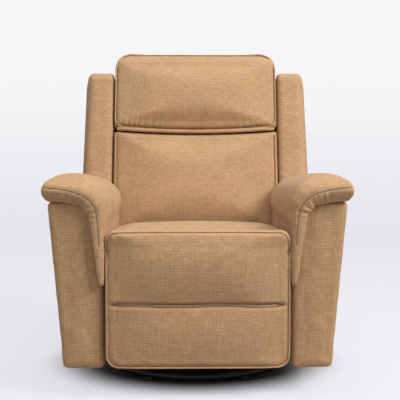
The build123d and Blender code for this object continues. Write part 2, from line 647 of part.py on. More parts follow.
lift_end = lift_x + LINK_T
carry_end = carry_x + LINK_T + SEAT_GAP
head_in = MECH_X - SEAT_GAP
lift_pin = headed_pin(lift, MECH_X - LINK_HEAD_T, lift_end + SEAT_GAP, MECH_X - LINK_HEAD_T, MECH_X)
lift_pin += rod_x(LINK_HEAD_R, lift_end + SEAT_GAP, lift_end + SEAT_GAP + LINK_HEAD_T - 0.8, *yz(lift))
pair("lift_pins", lift_pin)
knee_pin = headed_pin(knee_in, lift_x, carry_end, carry_end, carry_end + LINK_HEAD_T)
guide_pin = headed_pin(guide_in, head_in, lift_end, head_in - LINK_HEAD_T, head_in)
pair("link_pins", knee_pin, guide_pin)
first_pin = headed_pin(first_in, lift_x, carry_end, carry_end, carry_end + LINK_HEAD_T)
second_pin = headed_pin(second_in, head_in, lift_end, head_in - LINK_HEAD_T, head_in)
pair("foot_bracket_pins", first_pin, second_pin)

# Footrest board with its brackets and pad
board_mid_z = BOARD_TOP_Z - BOARD_H / 2
board_face = Pos(0, board_mid_z) * RectangleRounded(2 * BOARD_HALF_W, BOARD_H, 18)
nodes["foot_board"] = slab_y(board_face, -BOARD_S - BOARD_T, -BOARD_S)
bracket_z = (first_in[1] + second_in[1]) / 2
bracket_root = Pos(-BOARD_S + 2, bracket_z) * Rectangle(4, PIVOT_STEP + 50)
bracket_eye = Circle(LINK_W / 2)
bracket_face = hull(Pos(*yz(first_in)) * bracket_eye, Pos(*yz(second_in)) * bracket_eye, bracket_root)
for point in (first_in, second_in):
    bracket_face -= Pos(*yz(point)) * Circle(eye_r)
bracket = slab_x(bracket_face, lift_x, lift_end)
bracket_half = PIVOT_STEP / 2 + 25
flange_low = (lift_end - 46, -BOARD_S, bracket_z - bracket_half)
bracket += box(flange_low, (lift_end, -BOARD_S + LINK_T, bracket_z + bracket_half))
pair("foot_brackets", bracket)

pad_back = BOARD_S + BOARD_T + SEAT_GAP
wrap_z = BOARD_TOP_Z + SEAT_GAP
wrap_s = BOARD_S - 2
tuck_s = FOOT_FRONT_S - 20
face_s = FOOT_FRONT_S - 9
tuck_half = 4.0
foot_points = {
    "wrap_low": (wrap_s, wrap_z),
    "wrap_high": (wrap_s, FOOT_TOP_Z - 8),
    "top": (wrap_s + 12, FOOT_TOP_Z),
    "brow": (FOOT_FRONT_S - 10, FOOT_TOP_Z - 30),
    "above_tuck": (face_s, FOOT_TUCK_Z + tuck_half),
    "tuck": (tuck_s, FOOT_TUCK_Z),
    "below_tuck": (face_s, FOOT_TUCK_Z - tuck_half),
    "toe": (face_s, FOOT_BOTTOM_Z + 20),
    "hem": (FOOT_FRONT_S - 26, FOOT_BOTTOM_Z),
    "hem_back": (pad_back, FOOT_BOTTOM_Z),
    "back": (pad_back, wrap_z),
}
foot_points = {name: yz(point) for name, point in foot_points.items()}


def foot_arc(start, end, s, z):
    return ThreePointArc(foot_points[start], (-s, z), foot_points[end])


def foot_line(*names):
    return Polyline(*[foot_points[name] for name in names])


foot_side = make_face(
    [
        foot_line("back", "wrap_low", "wrap_high"),
        foot_arc("wrap_high", "top", wrap_s + 3, FOOT_TOP_Z - 2),
        foot_arc("top", "brow", FOOT_FRONT_S - 18, FOOT_TOP_Z - 7),
        foot_arc("brow", "above_tuck", FOOT_FRONT_S, (FOOT_TOP_Z + FOOT_TUCK_Z) / 2),
        foot_line("above_tuck", "tuck", "below_tuck"),
        foot_arc("below_tuck", "toe", FOOT_FRONT_S, (FOOT_BOTTOM_Z + FOOT_TUCK_Z) / 2),
        foot_arc("toe", "hem", FOOT_FRONT_S - 13, FOOT_BOTTOM_Z + 5),
        foot_line("hem", "hem_back", "back"),
    ]
)
foot_height = FOOT_TOP_Z - FOOT_BOTTOM_Z
foot_outline = RectangleRounded(2 * FOOT_HALF_W, foot_height + 4, 38)
foot_outline = Pos(0, (FOOT_TOP_Z + FOOT_BOTTOM_Z) / 2) * foot_outline
edge_s = FOOT_FRONT_S - 24
plan_x = FOOT_HALF_W + 8
plan_back = -wrap_s + 8
foot_plan = make_face(
    [
        ThreePointArc((-plan_x, -edge_s), (0, -FOOT_FRONT_S - 6), (plan_x, -edge_s)),
        Polyline((plan_x, -edge_s), (plan_x, plan_back), (-plan_x, plan_back), (-plan_x, -edge_s)),
    ]
)
foot_pad = slab_x(foot_side, -FOOT_HALF_W, FOOT_HALF_W)
foot_pad &= slab_y(foot_outline, -2 * FOOT_FRONT_S, 0)
nodes["foot_pad"] = foot_pad & extrude(foot_plan, 2 * FOOT_TOP_Z)

# Release lever on the right arm: a handle on a shaft, with a crank on its inner end
handle_face = hull(Circle(17), Pos(-LEVER_LENGTH, 14) * Circle(9))
handle = slab_x(Pos(LEVER_Y, LEVER_Z) * handle_face, LEVER_X, LEVER_X + LEVER_T)
handle = chamfer(handle.faces().sort_by(Axis.X)[-1].edges(), 2.5)
shaft_x = ARM_INNER_X - 18
handle -= rod_x(LEVER_SHAFT_R - 2 + RUN_FIT, LEVER_X, LEVER_X + LEVER_T - 4, LEVER_Y, LEVER_Z)
shaft = rod_x(LEVER_SHAFT_R, shaft_x, LEVER_X, LEVER_Y, LEVER_Z)
shaft += rod_x(LEVER_SHAFT_R - 2, LEVER_X, LEVER_X + LEVER_T - 4, LEVER_Y, LEVER_Z)
crank_face = hull(Circle(15), Pos(8, 34) * Circle(9)) - Circle(LEVER_SHAFT_R + RUN_FIT)
crank_face -= Pos(8, 34) * Circle(3.5)
crank = slab_x(Pos(LEVER_Y, LEVER_Z) * crank_face, shaft_x + 2, shaft_x + 7)
nodes["lever_handle"] = on_side(handle, -1)
nodes["lever_shaft"] = on_side(shaft, -1)
nodes["lever_crank"] = on_side(crank, -1)
bezel_low = outer_arm_x(LEVER_Z) - 6
bezel = rod_x(BEZEL_R, bezel_low, LEVER_X - SIDE_GAP, LEVER_Y, LEVER_Z)
bezel = chamfer(bezel.faces().sort_by(Axis.X)[-1].edges(), 4)
bezel -= rod_x(LEVER_SHAFT_R + RUN_FIT, bezel_low, LEVER_X, LEVER_Y, LEVER_Z)
nodes["lever_bezel"] = on_side(bezel - slab_y(arm_front, 2 * ARM_FRONT_Y, 2 * arm_rear_y), -1)

# Backrest, drawn upright about its pivot and then leaned back
def back_slab(face, low, high):
    """A face drawn in (u, v), made solid from X low to X high."""
    return slab_x(face, low, high)


def back_front(face):
    """A face drawn in (X, v), made solid through the whole thickness of the back."""
    return slab_y(face, -3 * BACK_R, 3 * BACK_R)


shell_inner = BACK_R - SHELL_T
filler = shell_inner - SEAT_GAP
shell_top = HEAD_TOP_V - 44
half_root = math.sqrt(0.5)
bend_in = shell_inner * half_root
shell_profile = make_face(
    [
        Line((BACK_R, 0), (BACK_R, shell_top)),
        Line((BACK_R, shell_top), (shell_inner, shell_top)),
        Line((shell_inner, shell_top), (shell_inner, 0)),
        ThreePointArc((shell_inner, 0), (bend_in, -bend_in), (0, -shell_inner)),
        Line((0, -shell_inner), (0, -BACK_R)),
        ThreePointArc((0, -BACK_R), (BACK_R * half_root, -BACK_R * half_root), (BACK_R, 0)),
    ]
)
shell_half = BACK_HALF_W - 2
shell_foot = -BACK_R - 10


def top_rounded(half_width, low, high, radius):
    """A panel in (X, v) with its two upper corners rounded."""
    face = Rectangle(2 * half_width, high - low)
    face = fillet(face.vertices().group_by(Axis.Y)[-1], radius)
    return Pos(0, (low + high) / 2) * face


shell_outline = top_rounded(shell_half, shell_foot, WING_TOP_V - 10, 44)
shell_outline += top_rounded(CENTRE_HALF_W, 0, shell_top, 46)
outer_back = back_slab(shell_profile, -shell_half, shell_half) & back_front(shell_outline)
nodes["outer_back"] = leaning(outer_back)

# Wings at both sides of the back, rolled at the foot
wing_roll = 34.0
wing_profile = make_face(
    [
        Line((filler, 0), (filler, WING_TOP_V - 12)),
        ThreePointArc((filler, WING_TOP_V - 12), (filler - 4, WING_TOP_V - 4), (filler - 14, WING_TOP_V)),
        Line((filler - 14, WING_TOP_V), (-BACK_R + wing_roll, WING_TOP_V)),
        ThreePointArc(
            (-BACK_R + wing_roll, WING_TOP_V),
            (-BACK_R + 0.3 * wing_roll, WING_TOP_V - 0.3 * wing_roll),
            (-BACK_R, WING_TOP_V - wing_roll),
        ),
        Line((-BACK_R, WING_TOP_V - wing_roll), (-BACK_R, 0)),
        ThreePointArc((-BACK_R, 0), (-0.72 * BACK_R, -0.66 * BACK_R), (0, -filler)),
        ThreePointArc((0, -filler), (filler * half_root, -filler * half_root), (filler, 0)),
    ]
)
wing_inner_x = CENTRE_HALF_W + WING_GAP
wing_mid_x = (wing_inner_x + BACK_HALF_W) / 2
wing_width = BACK_HALF_W - wing_inner_x
wing_face = Rectangle(wing_width, WING_TOP_V - shell_foot)
wing_face = fillet(wing_face.vertices().group_by(Axis.Y)[-1].sort_by(Axis.X)[-1], 30)
wing_face = Pos(wing_mid_x, (WING_TOP_V + shell_foot) / 2) * wing_face
wing_plan = make_face(
    [
        Polyline((wing_inner_x, filler), (BACK_HALF_W, filler), (BACK_HALF_W, -BACK_R + 30)),
        ThreePointArc(
            (BACK_HALF_W, -BACK_R + 30), (BACK_HALF_W - 8, -BACK_R + 10), (BACK_HALF_W - 30, -BACK_R)
        ),
        Line((BACK_HALF_W - 30, -BACK_R), (wing_inner_x + 10, -BACK_R)),
        ThreePointArc(
            (wing_inner_x + 10, -BACK_R), (wing_inner_x + 3, 3 - BACK_R), (wing_inner_x, 10 - BACK_R)
        ),
        Line((wing_inner_x, -BACK_R + 10), (wing_inner_x, filler)),
    ]
)
wing = back_slab(wing_profile, wing_inner_x, BACK_HALF_W) & back_front(wing_face)
wing &= Pos(0, 0, 2 * shell_foot) * extrude(wing_plan, 2 * WING_TOP_V)
both_sides("back_wing", leaning(wing))

# Centre cushions: lumbar and headrest, each with a crown from side to side and from top to bottom
cushion_back = POST_FRONT_U - WEB_T - SEAT_GAP
crest_u = -BACK_R - CUSHION_CROWN
centre_x = CENTRE_HALF_W + 8
centre_edge = -BACK_R + 8
centre_plan = make_face(
    [
        ThreePointArc((-centre_x, centre_edge), (0, crest_u), (centre_x, centre_edge)),
        Polyline((centre_x, centre_edge), (centre_x, BACK_R), (-centre_x, BACK_R)),
        Line((-centre_x, BACK_R), (-centre_x, centre_edge)),
    ]
)
centre_column = Pos(0, 0, -BACK_R) * extrude(centre_plan, 2 * HEAD_TOP_V)
edge_u = -BACK_R - 8
lumbar_mid_v = (LUMBAR_BOTTOM_V + LUMBAR_TOP_V) / 2
lumbar_low = LUMBAR_BOTTOM_V + 30
lumbar_high = LUMBAR_TOP_V - 30
lumbar_profile = make_face(
    [
        Line((cushion_back, LUMBAR_BOTTOM_V), (cushion_back, LUMBAR_TOP_V)),
        Line((cushion_back, LUMBAR_TOP_V), (edge_u + 30, LUMBAR_TOP_V)),
        ThreePointArc((edge_u + 30, LUMBAR_TOP_V), (edge_u + 8, LUMBAR_TOP_V - 8), (edge_u, lumbar_high)),
        ThreePointArc((edge_u, lumbar_high), (crest_u - 5, lumbar_mid_v), (edge_u, lumbar_low)),
        ThreePointArc(
            (edge_u, lumbar_low), (edge_u + 8, LUMBAR_BOTTOM_V + 8), (edge_u + 30, LUMBAR_BOTTOM_V)
        ),
        Line((edge_u + 30, LUMBAR_BOTTOM_V), (cushion_back, LUMBAR_BOTTOM_V)),
    ]
)
nodes["lumbar_cushion"] = leaning(back_slab(lumbar_profile, -CENTRE_HALF_W, CENTRE_HALF_W) & centre_column)

head_mid_v = (HEAD_BOTTOM_V + HEAD_TOP_V) / 2
head_low = HEAD_BOTTOM_V + 26
cap_v = POST_TOP_V + 5
head_profile = make_face(
    [
        Polyline((cushion_back, HEAD_BOTTOM_V), (cushion_back, cap_v), (filler, cap_v)),
        Line((filler, cap_v), (filler, HEAD_TOP_V - 50)),
        ThreePointArc((filler, HEAD_TOP_V - 50), (filler - 28, HEAD_TOP_V - 12), (-10, HEAD_TOP_V)),
        ThreePointArc((-10, HEAD_TOP_V), (edge_u + 22, HEAD_TOP_V - 18), (edge_u, HEAD_TOP_V - 70)),
        ThreePointArc((edge_u, HEAD_TOP_V - 70), (crest_u - 5, head_mid_v - 18), (edge_u, head_low)),
        ThreePointArc((edge_u, head_low), (edge_u + 7, HEAD_BOTTOM_V + 7), (edge_u + 26, HEAD_BOTTOM_V)),
        Line((edge_u + 26, HEAD_BOTTOM_V), (cushion_back, HEAD_BOTTOM_V)),
    ]
)
head_outline = top_rounded(CENTRE_HALF_W, 0, HEAD_TOP_V + 2, 44)
headrest = back_slab(head_profile, -CENTRE_HALF_W, CENTRE_HALF_W) & back_front(head_outline)
nodes["headrest_cushion"] = leaning(headrest & centre_column)

# Wooden back frame with webbing, hung on steel brackets
post_outer = CENTRE_HALF_W - POST_INSET
post_inner = post_outer - POST_W
post_low = (post_inner, POST_FRONT_U, POST_BOTTOM_V)
pair("back_posts", leaning(box(post_low, (post_outer, POST_BACK_U, POST_TOP_V))))
rail_u = (POST_FRONT_U + 10, POST_FRONT_U + 50)
top_low = (-post_inner, rail_u[0], POST_TOP_V - BACK_RAIL_H)
nodes["back_rail_top"] = leaning(box(top_low, (post_inner, rail_u[1], POST_TOP_V)))
bottom_high_v = POST_BOTTOM_V + BACK_RAIL_H
bracket_x = post_inner - BRACKET_T
bottom_low = (-bracket_x, rail_u[0], POST_BOTTOM_V)
nodes["back_rail_bottom"] = leaning(box(bottom_low, (bracket_x, rail_u[1], bottom_high_v)))
web_step = (POST_TOP_V - POST_BOTTOM_V) / WEB_COUNT
webs = []
for i in range(WEB_COUNT):
    v = POST_BOTTOM_V + (i + 0.5) * web_step
    web_low = (-post_outer, POST_FRONT_U - WEB_T, v - WEB_W / 2)
    webs += [leaning(box(web_low, (post_outer, POST_FRONT_U, v + WEB_W / 2)))]
nodes["back_webbing"] = Compound(webs)
arm_bar = Pos(0, BRACKET_LENGTH - 10) * Rectangle(2 * BRACKET_EYE_R - 16, 20)
bracket_plate = hull(Circle(BRACKET_EYE_R), arm_bar) - Circle(RECLINE_PIN_R + RUN_FIT)
screws = []
for v in (POST_BOTTOM_V + 60, BRACKET_LENGTH - 20):
    bracket_plate -= Pos(0, v) * Circle(BOLT_R + RUN_FIT)
    screw = rod_x(BOLT_R, bracket_x, post_inner, 0, v)
    screws += [leaning(screw + rod_x(BOLT_HEAD_R, bracket_x - 3, bracket_x, 0, v))]
pair("back_brackets", leaning(back_slab(bracket_plate, bracket_x, post_inner)))
pair("back_bracket_screws", *screws)
pin_low = min(MECH_X, bracket_x)
pin_high = max(MECH_X + MECH_T, post_inner) + SEAT_GAP
recline_pin = rod_x(RECLINE_PIN_R, pin_low - 4, pin_high, RECLINE_Y, RECLINE_Z)
recline_pin += rod_x(RECLINE_PIN_R + 5, pin_low - 4, pin_low, RECLINE_Y, RECLINE_Z)
recline_pin += rod_x(RECLINE_PIN_R + 5, pin_high, pin_high + 4, RECLINE_Y, RECLINE_Z)
pair("recline_pins", recline_pin)


os.makedirs("parts", exist_ok=True)
for name, shape in nodes.items():
    export_step(shape, f"parts/{name}.step")
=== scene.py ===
# %% [markdown]
# # An upholstered glider, dressed in Blender
# The chair arrives as solids: a floor ring, a turntable, swing links, wooden frames and plain cushion blocks.
# This lesson keeps the hard parts, gives them finishes, and turns each cushion block into stuffed fabric
# with seams, piping and the small gathers of sewn cloth. Everything is in metres, +Z up, the sitter faces -Y.

# %% Load the solids
import json
import math

import bmesh
import bpy
import numpy as np
from mathutils import Matrix, Vector
from mathutils.bvhtree import BVHTree


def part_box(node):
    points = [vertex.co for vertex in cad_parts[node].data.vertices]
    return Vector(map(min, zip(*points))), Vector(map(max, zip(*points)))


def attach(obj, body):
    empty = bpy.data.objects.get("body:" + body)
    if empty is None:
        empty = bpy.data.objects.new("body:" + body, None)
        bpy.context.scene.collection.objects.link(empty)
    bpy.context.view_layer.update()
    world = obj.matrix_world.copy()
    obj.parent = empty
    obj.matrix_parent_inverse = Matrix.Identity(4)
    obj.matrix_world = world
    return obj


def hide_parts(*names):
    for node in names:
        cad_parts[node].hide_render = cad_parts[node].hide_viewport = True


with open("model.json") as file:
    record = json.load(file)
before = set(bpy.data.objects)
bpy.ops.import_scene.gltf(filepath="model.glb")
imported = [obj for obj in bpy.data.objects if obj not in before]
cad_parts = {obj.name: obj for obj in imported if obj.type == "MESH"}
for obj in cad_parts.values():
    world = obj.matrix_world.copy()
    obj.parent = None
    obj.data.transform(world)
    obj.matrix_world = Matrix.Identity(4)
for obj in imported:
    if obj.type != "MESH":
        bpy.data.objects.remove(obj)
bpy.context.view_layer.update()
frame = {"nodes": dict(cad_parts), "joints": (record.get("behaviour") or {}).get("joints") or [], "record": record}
scene = bpy.context.scene

# %% [markdown]
# ## The camera
# The picture was taken from straight in front, at about chest height of a seated person, with a long lens.
# The place, the tilt and the lens come from a fit of the chair's corners to where they lie in a 400 by 400
# frame.

# %% Camera
FOCAL_PIXELS, FRAME_PIXELS, SENSOR = 829.0, 400.0, 36.0
EYE = Vector((-0.030, -2.642, 0.679))
TILT, TURN = 0.0625, 0.0159  # radians down and to the right


def new_piece(name, data):
    """A new object in the scene."""
    piece = bpy.data.objects.new(name, data)
    scene.collection.objects.link(piece)
    return piece


camera = new_piece("camera", bpy.data.cameras.new("camera"))
camera.data.sensor_width = SENSOR
camera.data.lens = SENSOR * FOCAL_PIXELS / FRAME_PIXELS
camera.location = EYE
gaze = Vector((math.sin(TURN) * math.cos(TILT), math.cos(TURN) * math.cos(TILT), -math.sin(TILT)))
camera.rotation_euler = gaze.to_track_quat("-Z", "Y").to_euler()
scene.camera = camera
print("lens", round(camera.data.lens, 1), "mm")

# %% [markdown]
# ## Writing finishes as sums
# A finish is a little circuit of nodes. Wiring it by hand is slow to read, so one small class wraps a socket
# and lets Python's own signs add the Math nodes: `0.5 + wave * 0.5` makes two of them.
# Everything else, such as a noise or a bump, comes from one method that takes the node's type.

# %% Numbers that vary over a surface
class Wire:
    """A number that varies over a surface."""

    def __init__(self, finish, socket):
        self.finish, self.socket = finish, socket

    def _math(self, operation, *values):
        return self.finish.node("ShaderNodeMath", {"operation": operation}, dict(enumerate(values)))

    def __add__(self, other): return self._math("ADD", self, other)
    def __radd__(self, other): return self._math("ADD", other, self)
    def __sub__(self, other): return self._math("SUBTRACT", self, other)
    def __rsub__(self, other): return self._math("SUBTRACT", other, self)
    def __mul__(self, other): return self._math("MULTIPLY", self, other)
    def __rmul__(self, other): return self._math("MULTIPLY", other, self)
    def __pow__(self, other): return self._math("POWER", self, other)
    def sine(self): return self._math("SINE", self)
    def clamped(self): return self.finish.node("ShaderNodeClamp", {}, {0: self})


print("a wire can be added, multiplied, raised to a power, and clamped")

# %% Materials under construction
class Finish:
    """A material under construction."""

    def __init__(self, name):
        self.material = bpy.data.materials.new(name)
        self.material.use_nodes = True
        self.tree = self.material.node_tree
        self.shader = self.tree.nodes["Principled BSDF"]

    def feed(self, socket, value):
        if isinstance(value, Wire):
            self.tree.links.new(value.socket, socket)
        else:
            socket.default_value = value

    def node(self, kind, settings, sockets, out=0):
        made = self.tree.nodes.new(kind)
        for key, value in settings.items():
            setattr(made, key, value)
        for key, value in sockets.items():
            self.feed(made.inputs[key], value)
        return Wire(self, made.outputs[out])

    def axes(self, wire):
        split = self.node("ShaderNodeSeparateXYZ", {}, {0: wire})
        return [Wire(self, output) for output in split.socket.node.outputs]

    def place(self, out="Object"):
        return self.node("ShaderNodeTexCoord", {}, {}, out)

    def noise(self, where, scale, detail=2.0, rough=0.5):
        sockets = {"Vector": where, "Scale": scale, "Detail": detail, "Roughness": rough}
        return self.node("ShaderNodeTexNoise", {}, sockets)

    def stretched(self, where, scale):
        return self.node("ShaderNodeMapping", {}, {"Vector": where, "Scale": scale})

    def rise(self, value, low, high):
        """0 below low, 1 above high, with a soft change between."""
        soft = {"interpolation_type": "SMOOTHSTEP"}
        return self.node("ShaderNodeMapRange", soft, {0: value, 1: low, 2: high})

    def blend(self, amount, low, high):
        """Mix two colours, each a wire or three numbers."""
        low, high = [tint if isinstance(tint, Wire) else (*tint, 1.0) for tint in (low, high)]
        return self.node("ShaderNodeMix", {"data_type": "RGBA"}, {"Factor": amount, 6: low, 7: high}, 2)

    def bump(self, height, strength, distance):
        return self.node("ShaderNodeBump", {}, {"Height": height, "Strength": strength, "Distance": distance})

    def set(self, **sockets):
        named = {socket.name.lower().replace(" ", "_"): socket for socket in self.shader.inputs}
        for key, value in sockets.items():
            self.feed(named[key], value)


print("finishes can be written")

# %% [markdown]
# ## The cover: tan chenille
# Chenille is woven from fuzzy yarn, so up close it is a fine grid of soft lumps, with yarns a little lighter or
# darker than their neighbours. The grid has to run along whichever way a panel faces. Three sine waves, one per
# axis, are each faded out where the surface faces along that axis, so the two that remain draw the grid.
# Slubs, the thicker stretches of a yarn, are noise drawn out along each axis and faded in the same way.

# %% Chenille
YARN = 0.0056  # metres from one yarn to the next
SLUB_ACROSS, SLUB_ALONG = 250.0, 40.0  # changes a metre
SHEEN_TINT = (0.94, 0.84, 0.72, 1.0)


def chenille(name, pale, deep, dusk):
    """pale and deep are the yarns' lit and shaded colours; dusk replaces pale in faded patches."""
    finish = Finish(name)
    where = finish.place()
    facing = finish.axes(finish.place("Normal"))
    wobble = (finish.noise(where, 55.0) - 0.5) * 2.6
    rounds = 2.0 * math.pi / YARN
    grid, slubs = 0.0, 0.0
    for index, (axis, face) in enumerate(zip(finish.axes(where), facing)):
        shown = 1.0 - face * face
        changes = [SLUB_ACROSS] * 3
        changes[index] = SLUB_ALONG
        grid = grid + (axis * rounds + wobble).sine() * shown
        slubs = slubs + (finish.noise(finish.stretched(where, changes), 1.0, 1.0) - 0.5) * shown
    fuzz = finish.noise(where, 900.0, 2.0, 0.6)
    patch = finish.noise(where, 6.0, 3.0)
    tone = (0.5 + grid * 0.08 + slubs * 0.62 + (fuzz - 0.5) * 0.8 + (patch - 0.5) * 0.35).clamped()
    faded = finish.noise(where, 11.0, 3.0)
    worn = ((faded - 0.5) * 2.2 + 0.3).clamped()
    colour = finish.blend(worn, finish.blend(tone, deep, pale), finish.blend(tone, deep, dusk))
    finish.set(base_color=colour, roughness=0.9 - tone * 0.12)
    finish.set(normal=finish.bump(grid * 0.26 + slubs * 0.4 + fuzz * 0.5, 0.34, 0.0011))
    finish.set(sheen_weight=0.20, sheen_roughness=0.42, sheen_tint=SHEEN_TINT, specular_ior_level=0.15)
    return finish.material


TAN = chenille("tan_chenille", (0.660, 0.420, 0.232), (0.325, 0.181, 0.088), (0.590, 0.385, 0.235))
# The seam thread's dark colour is painted shade: it stands for the shade in the seams' grooves.
SEAM_SHADE_TAN = chenille("tan_chenille_seam", (0.300, 0.178, 0.095), (0.170, 0.096, 0.050), (0.280, 0.170, 0.095))
print("fabric nodes", len(TAN.node_tree.nodes))

# %% [markdown]
# ## Steel, timber and plastic
# The floor ring and the brackets are powder coated black: a satin with a faint orange-peel ripple.
# The links and tubes are zinc plated, with cloudy patches. The hidden frame is plain sawn timber with long
# grain, and the back is hung with ribbed elastic webbing.

# %% Hard finishes
def powder_coat(name, colour, rough):
    finish = Finish(name)
    where = finish.place()
    peel = finish.noise(where, 420.0, 2.0)
    dust = finish.noise(where, 14.0, 4.0, 0.6)
    tint = finish.blend((dust * 0.35).clamped(), colour, [c * 1.6 + 0.006 for c in colour])
    finish.set(base_color=tint, roughness=rough + (dust - 0.5) * 0.18, normal=finish.bump(peel, 0.08, 0.0004))
    return finish.material


def zinc_plate(name):
    finish = Finish(name)
    where = finish.place()
    cloud = finish.noise(where, 32.0, 5.0, 0.65)
    brush = finish.noise(finish.stretched(where, (1.0, 14.0, 14.0)), 60.0)
    tint = finish.blend(cloud, (0.33, 0.34, 0.35), (0.60, 0.61, 0.62))
    finish.set(base_color=tint, metallic=0.9, roughness=0.34 + cloud * 0.2)
    finish.set(normal=finish.bump(brush, 0.08, 0.0005))
    return finish.material


def sawn_timber(name):
    finish = Finish(name)
    where = finish.place()
    grain = finish.noise(finish.stretched(where, (26.0, 26.0, 2.2)), 3.0, 6.0, 0.62)
    fleck = finish.noise(where, 160.0, 2.0)
    tone = (grain * 0.85 + fleck * 0.2).clamped()
    tint = finish.blend(tone, (0.42, 0.26, 0.13), (0.74, 0.54, 0.33))
    finish.set(base_color=tint, roughness=0.62 + grain * 0.2, normal=finish.bump(grain, 0.2, 0.001))
    return finish.material


WEBBING_RIB = 0.0042


def ribbed_webbing(name):
    finish = Finish(name)
    where = finish.place()
    upward = finish.axes(where)[2]
    rib = (upward * (2.0 * math.pi / WEBBING_RIB)).sine()
    yarn = finish.noise(where, 500.0)
    tone = (0.5 + rib * 0.25 + (yarn - 0.5) * 0.6).clamped()
    tint = finish.blend(tone, (0.03, 0.03, 0.03), (0.10, 0.10, 0.10))
    finish.set(base_color=tint, roughness=0.86, normal=finish.bump(rib, 0.3, 0.0008))
    return finish.material


FINISHES = {
    "tan_fabric": TAN,
    "black_steel": powder_coat("black_powder_coat", (0.006, 0.006, 0.007), 0.46),
    "black_plastic": powder_coat("black_moulding", (0.016, 0.016, 0.018), 0.5),
    "zinc_steel": zinc_plate("zinc_plate"),
    "frame_wood": sawn_timber("frame_timber"),
    "webbing": ribbed_webbing("elastic_webbing"),
}
SLOT_OF = {part["node"]: part["material_slot"] for part in frame["record"]["subparts"]}
for node, solid in frame["nodes"].items():
    solid.data.materials.clear()
    solid.data.materials.append(FINISHES[SLOT_OF[node]])
print("finishes", sorted(FINISHES))

# %% [markdown]
# ## Floor, backdrop and light
# A pale sheet runs along the floor and curves up behind the chair, so no horizon shows. Bending one strip with
# a bevel gives that curve. The camera sees the sheet a little paler than the light makes it, with a painted glow
# that grows paler higher up; under the chair its colour is painted dark instead, a painted shadow. A large soft
# lamp stands high in front on one side, a weaker one fills the other side, one hangs overhead, and the air adds
# grey light that grows towards the top.

# %% Studio
PAPER_WIDTH, PAPER_FRONT, PAPER_BACK, PAPER_HEIGHT = 18.0, -7.0, 5.2, 9.0
PAPER_BEND = 1.6
PAINTED_SHADOW_ACROSS, PAINTED_SHADOW_ALONG = 0.44, 0.38  # half sizes of the shade under the chair


def only(kind, geometry):
    return [piece for piece in geometry if isinstance(piece, kind)]


sheet = bmesh.new()
front_edge = sheet.edges.new([sheet.verts.new((side * PAPER_WIDTH / 2, PAPER_FRONT, 0.0)) for side in (-1, 1)])
flat = bmesh.ops.extrude_edge_only(sheet, edges=[front_edge])["geom"]
far = only(bmesh.types.BMVert, flat)
bmesh.ops.translate(sheet, verts=far, vec=(0.0, PAPER_BACK - PAPER_FRONT, 0.0))
fold = [edge for edge in only(bmesh.types.BMEdge, flat) if set(edge.verts) == set(far)]
wall = bmesh.ops.extrude_edge_only(sheet, edges=fold)["geom"]
bmesh.ops.translate(sheet, verts=only(bmesh.types.BMVert, wall), vec=(0.0, 0.0, PAPER_HEIGHT))
bmesh.ops.bevel(sheet, geom=fold, offset=PAPER_BEND, offset_type="OFFSET", affect="EDGES", segments=24,
                profile=0.5, material=-1)
bmesh.ops.recalc_face_normals(sheet, faces=sheet.faces)
for face in sheet.faces:
    face.smooth = True
paper_mesh = bpy.data.meshes.new("studio_paper")
sheet.to_mesh(paper_mesh)
sheet.free()
paper = new_piece("studio_paper", paper_mesh)
print("paper faces", len(paper_mesh.polygons))

# %% [markdown]
# The sheet's finish mixes two shaders. One is plain matt paper. The other glows in a colour of its own, and
# only for rays that show it to somebody: straight ones, mirrored ones and those through glass.

# %% Paper finish
paper_finish = Finish("studio_paper")
mottle = paper_finish.noise(paper_finish.place(), 1.1, 2.0)
paths = paper_finish.node("ShaderNodeLightPath", {}, {}).socket.node.outputs
seen = Wire(paper_finish, paths["Is Camera Ray"])
for ray in ("Is Glossy Ray", "Is Transmission Ray"):
    seen = seen + Wire(paper_finish, paths[ray])
seen = seen.clamped()
sideways, forward, height = paper_finish.axes(paper_finish.place())
raised = paper_finish.rise(height, -0.35, 1.4)
# An ellipse under the chair holds a painted shadow: away is 0 inside it and 1 beyond it.
apart = ((sideways * (1 / PAINTED_SHADOW_ACROSS)) ** 2.0 + (forward * (1 / PAINTED_SHADOW_ALONG)) ** 2.0) ** 0.5
away = paper_finish.rise(apart, 0.72, 1.18)
pale_paper = paper_finish.blend(mottle, (0.87, 0.86, 0.90), (0.94, 0.93, 0.97))
# Painted shadow: inside the ellipse under the chair, the colour the camera sees is painted dark.
pale_paper = paper_finish.blend(away, (0.14, 0.14, 0.15), pale_paper)
paper_finish.set(base_color=paper_finish.blend(seen, (0.34, 0.32, 0.30), pale_paper), roughness=0.85)
# The glow is painted light for seen rays: paler and stronger higher up the sheet, fading out in the painted
# shadow.
painted_glow_colour = paper_finish.blend(raised, (0.825, 0.81, 0.865), (0.925, 0.925, 0.945))
glow = paper_finish.node("ShaderNodeEmission", {}, {"Color": painted_glow_colour, "Strength": 1.0})
matt = Wire(paper_finish, paper_finish.shader.outputs[0])
share = seen * away * (0.82 + raised * 0.16)
mixed = paper_finish.node("ShaderNodeMixShader", {}, {0: share, 1: matt, 2: glow})
paper_finish.feed(paper_finish.tree.nodes["Material Output"].inputs[0], mixed)
paper_mesh.materials.append(paper_finish.material)
print("paper nodes", len(paper_finish.tree.nodes))

